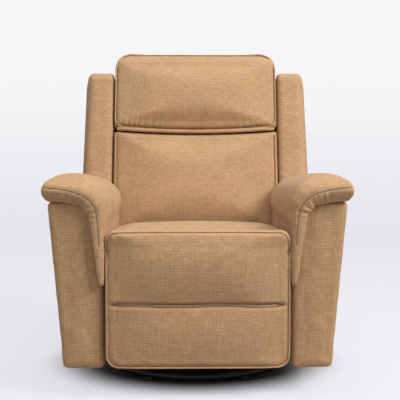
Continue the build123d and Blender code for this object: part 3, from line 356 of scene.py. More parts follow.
# %% Lamps and air
world = bpy.data.worlds.new("studio_air")
scene.world = world
world.use_nodes = True
air = world.node_tree.nodes
aloft = air.new("ShaderNodeSeparateXYZ")
world.node_tree.links.new(air.new("ShaderNodeTexCoord").outputs["Generated"], aloft.inputs[0])
level = air.new("ShaderNodeMapRange")
for socket, value in (("From Min", -0.2), ("From Max", 0.9), ("To Min", 0.10), ("To Max", 0.42)):
    level.inputs[socket].default_value = value
world.node_tree.links.new(aloft.outputs["Z"], level.inputs[0])
world.node_tree.links.new(level.outputs[0], air["Background"].inputs["Strength"])
air["Background"].inputs["Color"].default_value = (1.0, 0.98, 0.95, 1.0)
scene.view_settings.view_transform = "Standard"


def soft_lamp(name, place, aim, side, watts):
    lamp = new_piece(name, bpy.data.lights.new(name, "AREA"))
    lamp.data.shape, lamp.data.size, lamp.data.energy = "SQUARE", side, watts
    lamp.location = place
    lamp.rotation_euler = (Vector(aim) - Vector(place)).to_track_quat("-Z", "Y").to_euler()
    return lamp


soft_lamp("key_lamp", (3.4, -2.2, 3.7), (0.0, -0.1, 0.5), 2.3, 235.0)
soft_lamp("fill_lamp", (-2.6, -3.2, 2.0), (0.0, 0.0, 0.5), 2.4, 24.0)
soft_lamp("top_lamp", (0.1, -0.6, 4.9), (0.0, -0.1, 0.5), 3.0, 94.0)

# %% [markdown]
# ## Stuffing a cushion
# A sewn cushion is a fabric bag blown up by its filling. The same thing can be done here: take the solid block,
# rebuild its skin as even squares (a voxel remesh), shrink it a little, and let Blender's cloth swell under
# pressure.
# What is glued or stapled to the frame is held by a vertex group, and no point may travel further than a cap.
# Rebuilding coarsely, swelling, and only then dividing once keeps the simulation to a few seconds a cushion.

# %% Reading and moving points
def ramp(values, low, high):
    """0 below low, 1 above high, with a soft change between."""
    share = np.clip((values - low) / (high - low), 0.0, 1.0)
    return share * share * (3.0 - 2.0 * share)


def points_of(mesh):
    flat_list = np.zeros(len(mesh.vertices) * 3)
    mesh.vertices.foreach_get("co", flat_list)
    return flat_list.reshape(-1, 3)


def normals_of(mesh):
    flat_list = np.zeros(len(mesh.vertices) * 3, np.float32)
    mesh.vertex_normals.foreach_get("vector", flat_list)
    return flat_list.reshape(-1, 3).astype(float)


def move_points(mesh, points):
    mesh.vertices.foreach_set("co", np.ascontiguousarray(points, np.float32).ravel())
    mesh.update()


def relaxed(mesh, rounds):
    """Iron the skin: each smoothing is followed by one the other way, so the piece keeps its size."""
    skin = bmesh.new()
    skin.from_mesh(mesh)
    for pull in (0.5, -0.51) * rounds:
        bmesh.ops.smooth_vert(skin, verts=skin.verts, factor=pull, use_axis_x=True, use_axis_y=True,
                              use_axis_z=True)
    skin.to_mesh(mesh)
    skin.free()
    mesh.update()


print("simulation", "on")

# %% Skins
def baked(piece):
    """Give the piece the mesh that its modifiers make, and drop them."""
    depsgraph = bpy.context.evaluated_depsgraph_get()
    mesh = bpy.data.meshes.new_from_object(piece.evaluated_get(depsgraph))
    old, piece.data = piece.data, mesh
    piece.modifiers.clear()
    mesh.name = piece.name
    if old.users == 0:
        bpy.data.meshes.remove(old)
    return piece


def skin_of(node, name, cell):
    """A new piece with the outer skin of one solid, in squares of one size."""
    block = bmesh.new()
    block.from_mesh(frame["nodes"][node].data)
    bmesh.ops.remove_doubles(block, verts=block.verts, dist=1e-5)
    block.verts.ensure_lookup_table()
    unseen, islands = set(block.verts), []
    while unseen:
        island, front = set(), [max(unseen, key=lambda v: v.co.x * v.co.x)]
        while front:
            vert = front.pop()
            if vert in island:
                continue
            island.add(vert)
            front += [e.other_vert(vert) for e in vert.link_edges]
        unseen -= island
        islands.append(island)
    biggest = max(islands, key=lambda island: max(v.co.z for v in island) - min(v.co.z for v in island))
    bmesh.ops.delete(block, geom=[v for v in block.verts if v not in biggest], context="VERTS")
    mesh = bpy.data.meshes.new(name)
    block.to_mesh(mesh)
    block.free()
    piece = new_piece(name, mesh)
    remesh = piece.modifiers.new("squares", "REMESH")
    remesh.mode, remesh.voxel_size = "VOXEL", cell
    return baked(piece)


def mirrored(piece, name):
    mesh = piece.data.copy()
    mesh.name = name
    mesh.transform(Matrix.Scale(-1.0, 4, (1.0, 0.0, 0.0)))
    mesh.flip_normals()
    return new_piece(name, mesh)


print("skins can be made")

# %% Swelling
SWELL_FRAMES = 20


def swollen(piece, grip, pressure):
    """Let the cloth swell, held where grip is 1, and give back where its points end."""
    fixed = piece.vertex_groups.new(name="held")
    for index, weight in enumerate(grip):
        if weight > 0.01:
            fixed.add([index], float(weight), "REPLACE")
    cloth = piece.modifiers.new("swell", "CLOTH")
    cloth.settings.quality = 4
    cloth.settings.mass = 0.25
    cloth.settings.tension_stiffness = cloth.settings.compression_stiffness = 12.0
    cloth.settings.shear_stiffness = 4.0
    cloth.settings.bending_stiffness = 0.6
    cloth.settings.use_pressure = True
    cloth.settings.uniform_pressure_force = pressure
    cloth.settings.vertex_group_mass = "held"
    cloth.settings.effector_weights.gravity = 0.0
    cloth.collision_settings.use_collision = False
    cloth.point_cache.frame_start, cloth.point_cache.frame_end = 1, SWELL_FRAMES
    for step in range(1, SWELL_FRAMES + 1):
        scene.frame_set(step)
    baked(piece)
    piece.vertex_groups.clear()
    scene.frame_set(1)
    return points_of(piece.data)


print("swelling takes", SWELL_FRAMES, "frames")


def stuffed(node, name, cell, shrink, cap, held, pressure=4.0, keep=None, rounds=3, plump=0.0015):
    """Swell one cushion, whose squares measure cell, by at most cap. held(points) says from 0 to 1 how fast
    each point is fixed, and keep(points) confines them."""
    piece = skin_of(node, name, cell)
    relaxed(piece.data, rounds)
    grip = held(points_of(piece.data))
    start = points_of(piece.data) - normals_of(piece.data) * (shrink * (1.0 - grip))[:, None]
    move_points(piece.data, start)
    outward = normals_of(piece.data)
    travel = swollen(piece, grip, pressure) - start
    travel -= outward * np.minimum((travel * outward).sum(axis=1, keepdims=True), 0.0)
    length = np.linalg.norm(travel, axis=1, keepdims=True)
    travel *= np.minimum(1.0, cap / np.maximum(length, 1e-9))
    move_points(piece.data, start + travel if keep is None else keep(start + travel))
    relaxed(piece.data, 2)
    divide = piece.modifiers.new("finer", "SUBSURF")
    divide.levels = divide.render_levels = 1
    baked(piece)
    full = points_of(piece.data) + normals_of(piece.data) * plump
    move_points(piece.data, full if keep is None else keep(full))
    print(name, "points", len(piece.data.vertices), "reach", round(float(cap) * 1000), "mm")
    return piece


print("cushions can be stuffed")

# %% Dressing
def dress(piece, body, *nodes, fill=0.7, finish=TAN):
    """Cover one soft piece and hang it on the part of the chair that carries it."""
    piece.data.materials.clear()
    piece.data.materials.append(finish)
    for face in piece.data.polygons:
        face.use_smooth = True
    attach(piece, body)
    if nodes:
        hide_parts(*nodes)
    return piece


print("pieces are dressed in", TAN.name)

# %% [markdown]
# ## Measures that the cushions share
# The back leans, so its cushions are easier to describe in the back's own directions: across, backward from the
# recline pivot, and up along the back. The pivot's place comes from the chair's own joint list.

# %% The back's own directions
PIVOT = Vector(next(joint["pos_m"] for joint in frame["joints"] if joint["name"] == "recline"))
LEAN = math.radians(15.0)
BACKWARD = Vector((0.0, math.cos(LEAN), -math.sin(LEAN)))
UPWARD = Vector((0.0, math.sin(LEAN), math.cos(LEAN)))


def along_back(points):
    """Across, backward and upward of each point, measured from the recline pivot."""
    away = np.asarray(points) - np.array(PIVOT)
    return away[:, 0], away @ np.array(BACKWARD), away @ np.array(UPWARD)


def on_back(across, backward, upward):
    return PIVOT + Vector((across, 0.0, 0.0)) + BACKWARD * backward + UPWARD * upward


def spread(node):
    """Half width, and the lowest and highest place along the back, of one of its cushions."""
    across, backward, upward = along_back(points_of(frame["nodes"][node].data))
    return float(np.abs(across).max()), float(upward.min()), float(upward.max())


def rim(across, low, high, half, along, soft):
    """1 at the sewn edge of a panel, falling to 0 further in."""
    inward = np.minimum(half - np.abs(across), np.minimum(along - low, high - along))
    return 1.0 - ramp(inward, 0.004, soft)


print("pivot", tuple(round(v, 3) for v in PIVOT))

# %% [markdown]
# ## Seams, tucks and piping
# Three small tools draw the sewing. One presses a line into the fabric, as a row of stitches does. One lays
# points on the fabric by sending straight rays at it. One runs a thin round cord, the piping, along such
# points: a smooth curve with a round section, turned into a mesh.

# %% Lines on the fabric
def fabric_tree(piece):
    mesh = piece.data
    return BVHTree.FromPolygons([v.co for v in mesh.vertices], [p.vertices for p in mesh.polygons])


def laid(tree, seeds, toward, raised=0.0):
    """Where straight rays from the seeds meet the fabric, raised off it a little."""
    landed = []
    for seed in seeds:
        place, normal = tree.ray_cast(seed, toward)[:2]
        if place is None:
            place, normal = tree.find_nearest(seed + toward * 0.3)[:2]
        landed.append(place + normal * raised)
    return landed


def even(points, step):
    """The same line with points at even steps."""
    spots = np.array([tuple(p) for p in points])
    runs = np.concatenate([[0.0], np.cumsum(np.linalg.norm(np.diff(spots, axis=0), axis=1))])
    places = np.linspace(0.0, runs[-1], max(3, int(runs[-1] / step)))
    return [Vector(spot) for spot in np.stack([np.interp(places, runs, spots[:, i]) for i in range(3)], axis=1)]


def near_line(points, line):
    """Each point's distance to a line, and how far along the line its nearest place is."""
    best, along, run = np.full(len(points), 9.0), np.zeros(len(points)), 0.0
    for first, last in zip(line, line[1:]):
        start, way = np.array(first), np.array(last - first)
        length = float(np.linalg.norm(way))
        share = np.clip(((points - start) @ way) / (length * length), 0.0, 1.0)
        gap = np.linalg.norm(points - start - share[:, None] * way, axis=1)
        closer = gap < best
        best = np.where(closer, gap, best)
        along = np.where(closer, run + share * length, along)
        run += length
    return best, along


def pressed(piece, line, width, depth):
    """Draw the fabric in along a line."""
    mesh = piece.data
    points = points_of(mesh)
    gap, along = near_line(points, line)
    move_points(mesh, points - normals_of(mesh) * (depth * np.exp(-((gap / width) ** 2)))[:, None])


print("lines can be laid and pressed")

# %% Piping and stitches
def piping(name, line, radius, body, closed=False, finish=TAN):
    """A cord of fabric along the points."""
    path = bpy.data.curves.new(name, "CURVE")
    path.dimensions = "3D"
    path.bevel_depth, path.bevel_resolution, path.use_fill_caps = radius, 3, True
    spline = path.splines.new("NURBS")
    spline.points.add(len(line) - 1)
    for knot, place in zip(spline.points, line):
        knot.co = (*place, 1.0)
    spline.use_cyclic_u, spline.use_endpoint_u = closed, not closed
    spline.order_u, spline.resolution_u = 3, 2
    holder = new_piece(name + "_path", path)
    mesh = bpy.data.meshes.new_from_object(holder.evaluated_get(bpy.context.evaluated_depsgraph_get()))
    bpy.data.objects.remove(holder)
    bpy.data.curves.remove(path)
    mesh.name = name
    return dress(new_piece(name, mesh), body, finish=finish)


def stitches(name, piece, line, toward, raised, radius, body):
    """A row of thread on the fabric, along points on it or in front of it; its dark colour is painted seam shade.
    """
    row = laid(fabric_tree(piece), [place - toward * 0.1 for place in line], toward, raised)
    return piping(name, row, radius, body, finish=SEAM_SHADE_TAN)


def evened(levels, mode):
    """A run of numbers, smoothed three times over five neighbours."""
    for _ in range(3):
        levels = np.convolve(np.pad(levels, 2, mode=mode), np.ones(5) / 5.0, "valid")
    return levels


print("piping and stitches can be sewn")

# %% [markdown]
# ## Seat cushion
# A deep foam block with a crowned top, on springs. Its underside sits flat, so that is held; its sides lie
# against the arms, so they may not bulge past them. Its crown is kept to the height in the picture, lower at
# the sides and towards the back.

# %% Seat cushion
seat_low, seat_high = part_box("seat_cushion")
SEAT_CROWN, CROWN_SOFT = 0.470, 0.012  # the last 12 mm below the crown flatten out
SEAT_BROW_Y, SEAT_FALL = -0.24, 0.10  # behind the brow the seat slopes down


def seat_held(points):
    return 1.0 - ramp(points[:, 2], seat_low.z + 0.012, seat_low.z + 0.05)


def seat_fence(points):
    points = points.copy()
    points[:, 0] = np.clip(points[:, 0], seat_low.x, seat_high.x)
    points[:, 1] = np.clip(points[:, 1], seat_low.y, None)
    across = np.abs(points[:, 0])
    crest = SEAT_CROWN - 0.006 * (across / 0.2) ** 2 - 0.012 * ramp(across, 0.20, 0.249) ** 2
    crest -= SEAT_FALL * np.maximum(points[:, 1] - SEAT_BROW_Y, 0.0)
    over = points[:, 2] - (crest - CROWN_SOFT)
    flattened = crest - CROWN_SOFT + CROWN_SOFT * np.tanh(over / CROWN_SOFT)
    points[:, 2] = np.where(over > 0.0, flattened, points[:, 2])
    return points


seat = stuffed("seat_cushion", "seat_cushion_cover", cell=0.0095, shrink=0.004, cap=0.022, held=seat_held,
               keep=seat_fence)
dress(seat, "chair_frame", "seat_cushion", fill=0.8)
print("seat crown", round(float(points_of(seat.data)[:, 2].max()), 3))

# %% [markdown]
# ## Lumbar and head cushions
# Two plump pillows sewn to the same back. Their rear faces are glued to the webbing and their edges are sewn,
# so both are held and the faces swell between them. The line between the two pillows sags in the middle, as it
# does on a soft back, so the points near it are lifted towards the sides. The head cushion's top edge is drawn
# down a little and its top corners are drawn round.

# %% Back cushions
EDGE_SOFT = 0.095  # the sewn edge's hold fades over this width


def back_cushion(node, name, cap):
    half, low, high = spread(node)

    def held(points):
        across, backward, upward = along_back(points)
        return np.maximum(ramp(backward, -0.060, -0.040), rim(across, low, high, half, upward, EDGE_SOFT))

    def fence(points):
        points = points.copy()
        points[:, 0] = np.clip(points[:, 0], -half, half)
        return points
    return stuffed(node, name, cell=0.0085, shrink=0.004, cap=cap, held=held, keep=fence, rounds=2)


head = back_cushion("headrest_cushion", "headrest_cushion_cover", 0.012)
lumbar = back_cushion("lumbar_cushion", "lumbar_cushion_cover", 0.014)
head_half, head_bottom, head_top = spread("headrest_cushion")
lumbar_half, lumbar_bottom, lumbar_top = spread("lumbar_cushion")

# %% Sagging line between the two
HEAD_LIFT, LUMBAR_LIFT = (-0.001, 0.014), (-0.002, 0.009)  # at the middle and at the ends


def lift(across, heights):
    """How far the meeting line is raised, from its middle to its ends."""
    middle, ends = heights
    return middle + (ends - middle) * np.clip(np.abs(across) / head_half, 0.0, 1.0) ** 2


for cushion, edge, heights in ((head, head_bottom, HEAD_LIFT), (lumbar, lumbar_top, LUMBAR_LIFT)):
    spots = points_of(cushion.data)
    across, backward, upward = along_back(spots)
    shift = lift(across, heights) * (1.0 - ramp(np.abs(upward - edge), 0.01, 0.11))
    move_points(cushion.data, spots + shift[:, None] * np.array(UPWARD))
    print(cushion.name, "lifted at its ends by", round(float(shift.max()) * 1000, 1), "mm")

# %% Rounded top corners
HEAD_TURN, HEAD_SINK = 0.064, 0.006  # corner radius, and how far the top edge comes down
CORNER_FILL = 0.012  # points this close inside a corner are drawn out to it


def round_top(piece, half, top, turn, fill):
    """Draw the outer top corners of a piece of the back round; fill 1 also draws points out to the corner."""
    spots = points_of(piece.data)
    across, backward, upward = along_back(spots)
    past_x = np.abs(across) - (half - turn)
    past_v = upward - (top - turn)
    corner = np.hypot(past_x, past_v)
    inside = np.where((past_x > 0.0) & (past_v > 0.0), turn - corner, 0.0)
    inside = np.where(inside < 0.0, inside, fill * inside * np.exp(-((inside / CORNER_FILL) ** 2)))
    pull = (inside / np.maximum(corner, 1e-6))[:, None]
    spots[:, 0] += np.sign(across) * past_x * pull[:, 0]
    move_points(piece.data, spots + past_v[:, None] * pull * np.array(UPWARD))


spots = points_of(head.data)
across, backward, upward = along_back(spots)
sink = HEAD_SINK * ramp(upward, head_top - 0.09, head_top - 0.02)
move_points(head.data, spots - sink[:, None] * np.array(UPWARD))
round_top(head, head_half, head_top - HEAD_SINK, HEAD_TURN, 1.0)
dress(head, "backrest", "headrest_cushion", fill=0.75)
dress(lumbar, "backrest", "lumbar_cushion", fill=0.75)
print("head top along the back", round(float(along_back(points_of(head.data))[2].max()), 3))

# %% [markdown]
# The cover is a little too long for the filling near the lower corners of the head cushion, so the fabric
# gathers there in short folds. A wave across the cushion that dies away from the seam draws them, deeper on the
# picture's left.

# %% Gathers on the head cushion
spots = points_of(head.data)
across, backward, upward = along_back(spots)
rise = upward - head_bottom - lift(across, HEAD_LIFT)
corner = ramp(np.abs(across), 0.05, 0.20) * (1.0 - ramp(np.abs(across), 0.255, 0.275))
front = 1.0 - ramp(backward, -0.085, -0.06)
phase = across * 300.0 + 1.5 * np.sin(across * 61.0) + rise * 60.0 * np.sign(across)
folds = np.sin(phase) * np.exp(-rise / 0.024) * ramp(rise, 0.002, 0.012)
depth = (0.0024 - 0.0008 * np.sign(across)) * folds * corner * front
move_points(head.data, spots + normals_of(head.data) * depth[:, None])
print("deepest fold", round(float(np.abs(depth).max()) * 1000, 1), "mm")

# %% [markdown]
# A cord in its own sleeve of fabric is sewn round the head cushion's front edge, and along both sides of the
# lumbar cushion.

# %% Piping round the back cushions
PIPE, PIPE_STEP = 0.0026, 0.012
IN_FRONT = -0.45  # where rays towards the back start


def border(half, low, high, top_turn, low_turn):
    """Across and upward places round a cushion's front edge, with rounded corners."""
    places = []
    lower, upper = low + low_turn, high - top_turn
    rights = ((1, lower, low_turn, -90), (1, upper, top_turn, 0))
    lefts = ((-1, upper, top_turn, 90), (-1, lower, low_turn, 180))
    for side, centre, turn, angle in rights + lefts:
        for step in range(9):
            way = math.radians(angle + step * 11.25)
            places.append((side * (half - turn) + turn * math.cos(way), centre + turn * math.sin(way)))
    return places


def piped(cushion, name, places, closed):
    """Piping along across and upward places of one back cushion."""
    line = even([Vector((across, 0.0, upward)) for across, upward in places + places[:1] * closed], PIPE_STEP)
    seeds = [on_back(spot.x, IN_FRONT, spot.z) for spot in line]
    landed = laid(fabric_tree(cushion), seeds, BACKWARD, 0.0006)
    depth = np.array([(spot - PIVOT).dot(BACKWARD) for spot in landed])
    depth = evened(depth, "wrap" if closed else "edge")
    line = [on_back(spot.x, float(level), spot.z) for spot, level in zip(line, depth)]
    pressed(cushion, line, 0.008, 0.004)
    return piping(name, line[:-1] if closed else line, PIPE, "backrest", closed)


head_border = border(head_half - 0.004, head_bottom + 0.002, head_top - HEAD_SINK - 0.006, 0.060, 0.024)
head_border = even([Vector((x, 0.0, v)) for x, v in head_border + head_border[:1]], PIPE_STEP)[:-1]
head_border = [(p.x, p.z + float(lift(p.x, HEAD_LIFT)) * float(p.z < head_bottom + 0.05)) for p in head_border]
piped(head, "headrest_piping", head_border, True)
for side, word in ((-1, "right"), (1, "left")):
    levels = np.linspace(lumbar_bottom + 0.02, lumbar_top - 0.006, 13)
    run = [(side * (lumbar_half - 0.007), float(level)) for level in levels]
    piped(lumbar, "lumbar_piping_" + word, run, False)
print("piped border", len(head_border), "places")

# %% [markdown]
# Between the two pillows a folded band of the cover shows. It is a soft roll that lies in the crease along the
# same sagging line.

# %% Folded band in the crease
BAND_RADIUS, BAND_END, BAND_REACH = 0.0062, 0.012, 0.020
neighbours = ((fabric_tree(head), BAND_REACH), (fabric_tree(lumbar), -BAND_REACH))
band_line = []
for across in np.linspace(BAND_END - head_half, head_half - BAND_END, 41):
    level = (head_bottom + lift(across, HEAD_LIFT) + lumbar_top + lift(across, LUMBAR_LIFT)) / 2
    landed = [laid(tree, [on_back(across, IN_FRONT, level + reach)], BACKWARD)[0] for tree, reach in neighbours]
    depth = max((place - PIVOT).dot(BACKWARD) for place in landed)
    band_line.append(on_back(across, depth + 0.002, level))
band = piping("crease_band", band_line, BAND_RADIUS, "backrest")
print("band points", len(band.data.vertices))

# %% [markdown]
# ## Wings beside the back
# Slim padded uprights on both sides, drawn in towards the top, with rounded outer corners. One is made, then
# mirrored for the other side.

# %% Wings
WING_TURN, SIDE_DRAW = 0.034, 0.009


def wing_held(points):
    across, backward, upward = along_back(points)
    return ramp(backward, 0.02, 0.05)


def leaned_in(piece):
    """Draw the sides of the back in towards its top."""
    spots = points_of(piece.data)
    across, backward, upward = along_back(spots)
    draw = SIDE_DRAW * ramp(upward, 0.10, 0.64) * ramp(np.abs(across), 0.29, 0.37)
    spots[:, 0] -= np.sign(across) * draw
    move_points(piece.data, spots)


wing_left = stuffed("back_wing_left", "back_wing_left_cover", cell=0.0085, shrink=0.002, cap=0.006,
                    held=wing_held)
leaned_in(wing_left)
across, backward, upward = along_back(points_of(wing_left.data))
wing_half = float(across[upward > upward.max() - 0.04].max())
round_top(wing_left, wing_half, float(upward.max()), WING_TURN, 0.0)
relaxed(wing_left.data, 2)
wing_right = mirrored(wing_left, "back_wing_right_cover")
dress(wing_left, "backrest", "back_wing_left", fill=0.7)
dress(wing_right, "backrest", "back_wing_right", fill=0.7)

# %% [markdown]
# ## Arms
# Each arm is a timber frame wrapped in a thin layer of wadding, so its panels barely swell. The arm's rear face
# is pulled tight, so that the leaning back clears it.

# %% Arm covers
SHIN_DRAW, REAR_DRAW = 0.008, 0.005  # how far the inner front and the rear are drawn


def arm_held(points):
    return 1.0 - ramp(points[:, 2], 0.084, 0.10)


arm_left = stuffed("arm_cover_left", "arm_cover_left_skin", cell=0.0085, shrink=0.001, cap=0.003,
                   held=arm_held, pressure=1.5, rounds=2, plump=0.002)
spots = points_of(arm_left.data)
# The inner front edge is drawn towards the footrest, below the pad.
shin = (1.0 - ramp(spots[:, 0], 0.27, 0.30)) * (1.0 - ramp(spots[:, 1], -0.36, -0.30))
shin *= 1.0 - ramp(spots[:, 2], 0.30, 0.34)
spots[:, 0] -= SHIN_DRAW * shin
facings = normals_of(arm_left.data)
# The notch is the low part of the arm behind the seat, over which the back swings.
notch = ramp(spots[:, 1], 0.14, 0.20) * (1.0 - ramp(spots[:, 2], 0.34, 0.42)) * ramp(facings[:, 2], 0.1, 0.4)
rear = np.maximum(notch, ramp(facings[:, 1], 0.15, 0.6))
spots -= facings * (REAR_DRAW * rear)[:, None]
move_points(arm_left.data, spots)
arm_right = mirrored(arm_left, "arm_cover_right_skin")
dress(arm_left, "chair_frame", "arm_cover_left", fill=0.6)
dress(arm_right, "chair_frame", "arm_cover_right", fill=0.6)

# %% [markdown]
# The arm pad on top is thicker: it rolls over the front and hangs down the arm's face like a mitten's thumb.
# It is held where it lies on the arm. Its inner side bulges a little and its front lip hangs lower.

# %% Arm pads
INNER_BULGE, LIP_DROP = 0.006, 0.009
arm_tree = fabric_tree(arm_right)


def pad_held(points):
    gaps = np.array([arm_tree.find_nearest(Vector(spot))[3] for spot in points])
    return 1.0 - ramp(gaps, 0.004, 0.012)


pad_right = stuffed("arm_pad_right", "arm_pad_right_cover", cell=0.0068, shrink=0.0, cap=0.007, held=pad_held,
                    pressure=3.0, rounds=2, plump=0.002)
spots = points_of(pad_right.data)
inner = ramp(spots[:, 0], -0.30, -0.262) * ramp(spots[:, 2], 0.462, 0.50)
inner *= 1.0 - ramp(spots[:, 2], 0.60, 0.64)
spots[:, 0] += INNER_BULGE * inner
lip = np.exp(-(((spots[:, 0] + 0.325) / 0.03) ** 2)) * (1.0 - ramp(spots[:, 2], 0.545, 0.58))
lip *= 1.0 - ramp(spots[:, 1], -0.41, -0.39)
spots[:, 2] -= LIP_DROP * lip * ramp(spots[:, 2], 0.50, 0.53)
move_points(pad_right.data, spots)

# %% [markdown]
# The front of the pad is closed by a strip with a curved seam. The seam's places are read off the picture, as
# points of the 400 by 400 frame, and sent along the camera's own rays until they meet the pad. Above the seam
# the fabric rolls back over the top, and below it the strip is drawn under in small gathers.

# %% Pad seam
SIDEWAYS = gaze.cross(Vector((0.0, 0.0, 1.0))).normalized()
OVERHEAD = SIDEWAYS.cross(gaze).normalized()
PAD_SEAM = [(43, 187.5), (55, 188.5), (68, 190.5), (80, 194.0), (88, 199.0), (94, 206.0), (96.5, 215),
            (98, 230), (99, 246)]


def sight(place):
    """The direction from the camera through one point of the picture."""
    right, down = (place[0] - FRAME_PIXELS / 2) / FOCAL_PIXELS, (place[1] - FRAME_PIXELS / 2) / FOCAL_PIXELS
    return (gaze + SIDEWAYS * right - OVERHEAD * down).normalized()


def met(tree, place):
    """Where the ray through one point of the picture meets the fabric, or nearly does."""
    return tree.ray_cast(EYE, sight(place))[0] or tree.find_nearest(EYE + sight(place) * 2.2)[0]


pad_tree = fabric_tree(pad_right)
seam = even([met(pad_tree, place) for place in PAD_SEAM], 0.008)
length = sum((b - a).length for a, b in zip(seam, seam[1:]))
print("pad seam", round(length, 3), "m")

# %% Pad roll and gathers
GATHER_PITCH, GATHER_DEPTH = 0.021, 0.0024
ROLL_BACK = 0.024  # how far the fabric above the seam goes back

spots = points_of(pad_right.data)
gap, along = near_line(spots, seam)
nearest = np.round(along / length * (len(seam) - 1)).astype(int)
course = np.array(seam)
ways, offset = np.gradient(course, axis=0)[nearest], spots - course[nearest]
above = gap * np.sign(ways[:, 0] * offset[:, 2] - ways[:, 2] * offset[:, 0])  # below the seam it is negative
facing = (1.0 - ramp(spots[:, 1], -0.44, -0.36)) * (1.0 - ramp(course[-1, 2] - spots[:, 2], -0.03, 0.03))
# The gathers lie close below the seam and fade towards both of its ends.
gathered = ramp(-above, 0.0, 0.012) * (1.0 - ramp(-above, 0.020, 0.045))
gathered *= ramp(along, 0.03, 0.08) * (1.0 - ramp(along, length - 0.11, length - 0.05))
phase = along * 2 * math.pi / GATHER_PITCH + 1.6 * np.sin(along * 70.0)
waves = np.sin(phase) * (0.7 + 0.3 * np.sin(along * 43.0)) * gathered
rolled = spots + normals_of(pad_right.data) * (GATHER_DEPTH * waves)[:, None]
rolled[:, 1] += facing * ROLL_BACK * ramp(above, 0.0, 0.05)
# The strip's outer side is cut back under the roll, and its front is tucked in below the seam.
outer = ramp(-normals_of(pad_right.data)[:, 0], 0.1, 0.5) * (1.0 - ramp(spots[:, 2], 0.490, 0.530))
outer *= 1.0 - ramp(spots[:, 1], -0.413, -0.404)
rolled[:, 0] += outer * (0.015 * ramp(spots[:, 1], -0.436, -0.420) - 0.003)
tucked = 0.014 - 0.011 * ramp(along, 0.10, 0.17)
rolled[:, 1] += facing * tucked * ramp(-above, 0.004, 0.04) * (1.0 - ramp(along, length - 0.06, length - 0.01))
move_points(pad_right.data, rolled)
pressed(pad_right, seam, 0.005, 0.0022)
pad_left = mirrored(pad_right, "arm_pad_left_cover")
dress(pad_right, "chair_frame", "arm_pad_right", fill=0.8)
dress(pad_left, "chair_frame", "arm_pad_left", fill=0.8)
# The seam's thread is dark: painted shade of the seam.
thread = stitches("arm_pad_right_seam", pad_right, seam, gaze, 0.0002, 0.0011, "chair_frame")
dress(mirrored(thread, "arm_pad_left_seam"), "chair_frame", finish=SEAM_SHADE_TAN)
print("deepest gather", round(float(np.abs(GATHER_DEPTH * waves).max()) * 1000, 1), "mm")

# %% [markdown]
# ## Footrest pad
# A flat padded panel in front of the seat, closed in the picture. Its rear is stapled to a board, its edges are
# piped and a tuck is sewn across it, so those are held. The panel's brow stands up and forward a little, and
# its upper half is plumper than its lower.

# %% Footrest pad
foot_low, foot_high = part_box("foot_pad")
TUCK_Z, TUCK_HALF, TUCK_OPEN = 0.2565, 0.233, 0.0034
BROW_RAISE, BELLY = 0.006, 0.007


def foot_held(points):
    rear = ramp(points[:, 1], foot_high.y - 0.014, foot_high.y - 0.004)
    edge = rim(points[:, 0], foot_low.z, foot_high.z + 0.1, foot_high.x, points[:, 2], 0.05)
    tuck = 0.9 * np.exp(-(((points[:, 2] - TUCK_Z) / 0.016) ** 2))
    tuck *= 1.0 - ramp(np.abs(points[:, 0]), 0.20, 0.24)
    return np.maximum(np.maximum(rear, edge), tuck)


foot = stuffed("foot_pad", "foot_pad_cover", cell=0.0085, shrink=0.003, cap=0.010, held=foot_held, rounds=2,
               plump=0.002)
spots = points_of(foot.data)
brow = ramp(spots[:, 2], foot_high.z - 0.044, foot_high.z - 0.010) * (1.0 - ramp(spots[:, 1], -0.415, -0.392))
spots += BROW_RAISE * brow[:, None] * np.array((0.0, -1.0, 1.0))
belly = np.sin(np.clip((spots[:, 2] - TUCK_Z) / (foot_high.z - TUCK_Z), 0.0, 1.0) * math.pi)
belly *= (1.0 - ramp(np.abs(spots[:, 0]), 0.12, 0.245)) * (1.0 - ramp(spots[:, 1], -0.43, -0.40))
spots[:, 1] -= BELLY * belly
move_points(foot.data, spots)

# %% [markdown]
# Along the panel's top edge, where it is joined to the strip that lies on the seat, runs a row of stitches. The
# tuck is two more rows close together that meet at both ends, with a thin fold standing between them.

# %% Footrest stitches
INWARD = Vector((0.0, 1.0, 0.0))  # from the picture's side towards the chair
BEFORE = -0.6  # where rays towards the pad start
TUCK_STEPS, TUCK_TAPER, TUCK_SWAY = 32, 0.018, 0.0012

corner = [(0.2465, 0.060), (0.243, 0.024), (0.2365, 0.010), (0.2307, 0.0045), (0.215, 0.002), (0.12, 0.001)]
top_line = corner + [(-across, drop) for across, drop in reversed(corner)]
top_line = even([Vector((across, BEFORE, foot_high.z - drop)) for across, drop in top_line], 0.010)
top_line = laid(fabric_tree(foot), top_line, INWARD)
pressed(foot, top_line, 0.0045, 0.003)
# The top row's thread is dark: painted shade of the seam.
stitches("foot_top_seam", foot, top_line, INWARD, 0.0002, 0.0011, "footrest")

foot_tree = fabric_tree(foot)
for side, word in ((-1, "lower"), (1, "upper")):
    row = []
    for step in range(TUCK_STEPS + 1):
        across = -TUCK_HALF + step * 2 * TUCK_HALF / TUCK_STEPS
        opening = TUCK_OPEN * min(1.0, (TUCK_HALF - abs(across)) / TUCK_TAPER)
        row.append(Vector((across, BEFORE, TUCK_Z + side * opening + TUCK_SWAY * math.sin(across * 26.0))))
    row = laid(foot_tree, row, INWARD)
    pressed(foot, row, 0.0040, 0.007)
    # Each tuck row's thread is dark: painted shade of the tuck.
    stitches("foot_tuck_" + word, foot, row, INWARD, 0.0001, 0.0010, "footrest")
print("top row", len(top_line), "places, tuck rows", len(row), "places each")

# %% Footrest piping
FOOT_PIPE, FOOT_TURN = 0.0025, 0.030
FOOT_INSET = 0.003  # of the cord from the pad's sides and bottom
NEARER = 0.985  # brings a place on the edge safely onto the panel

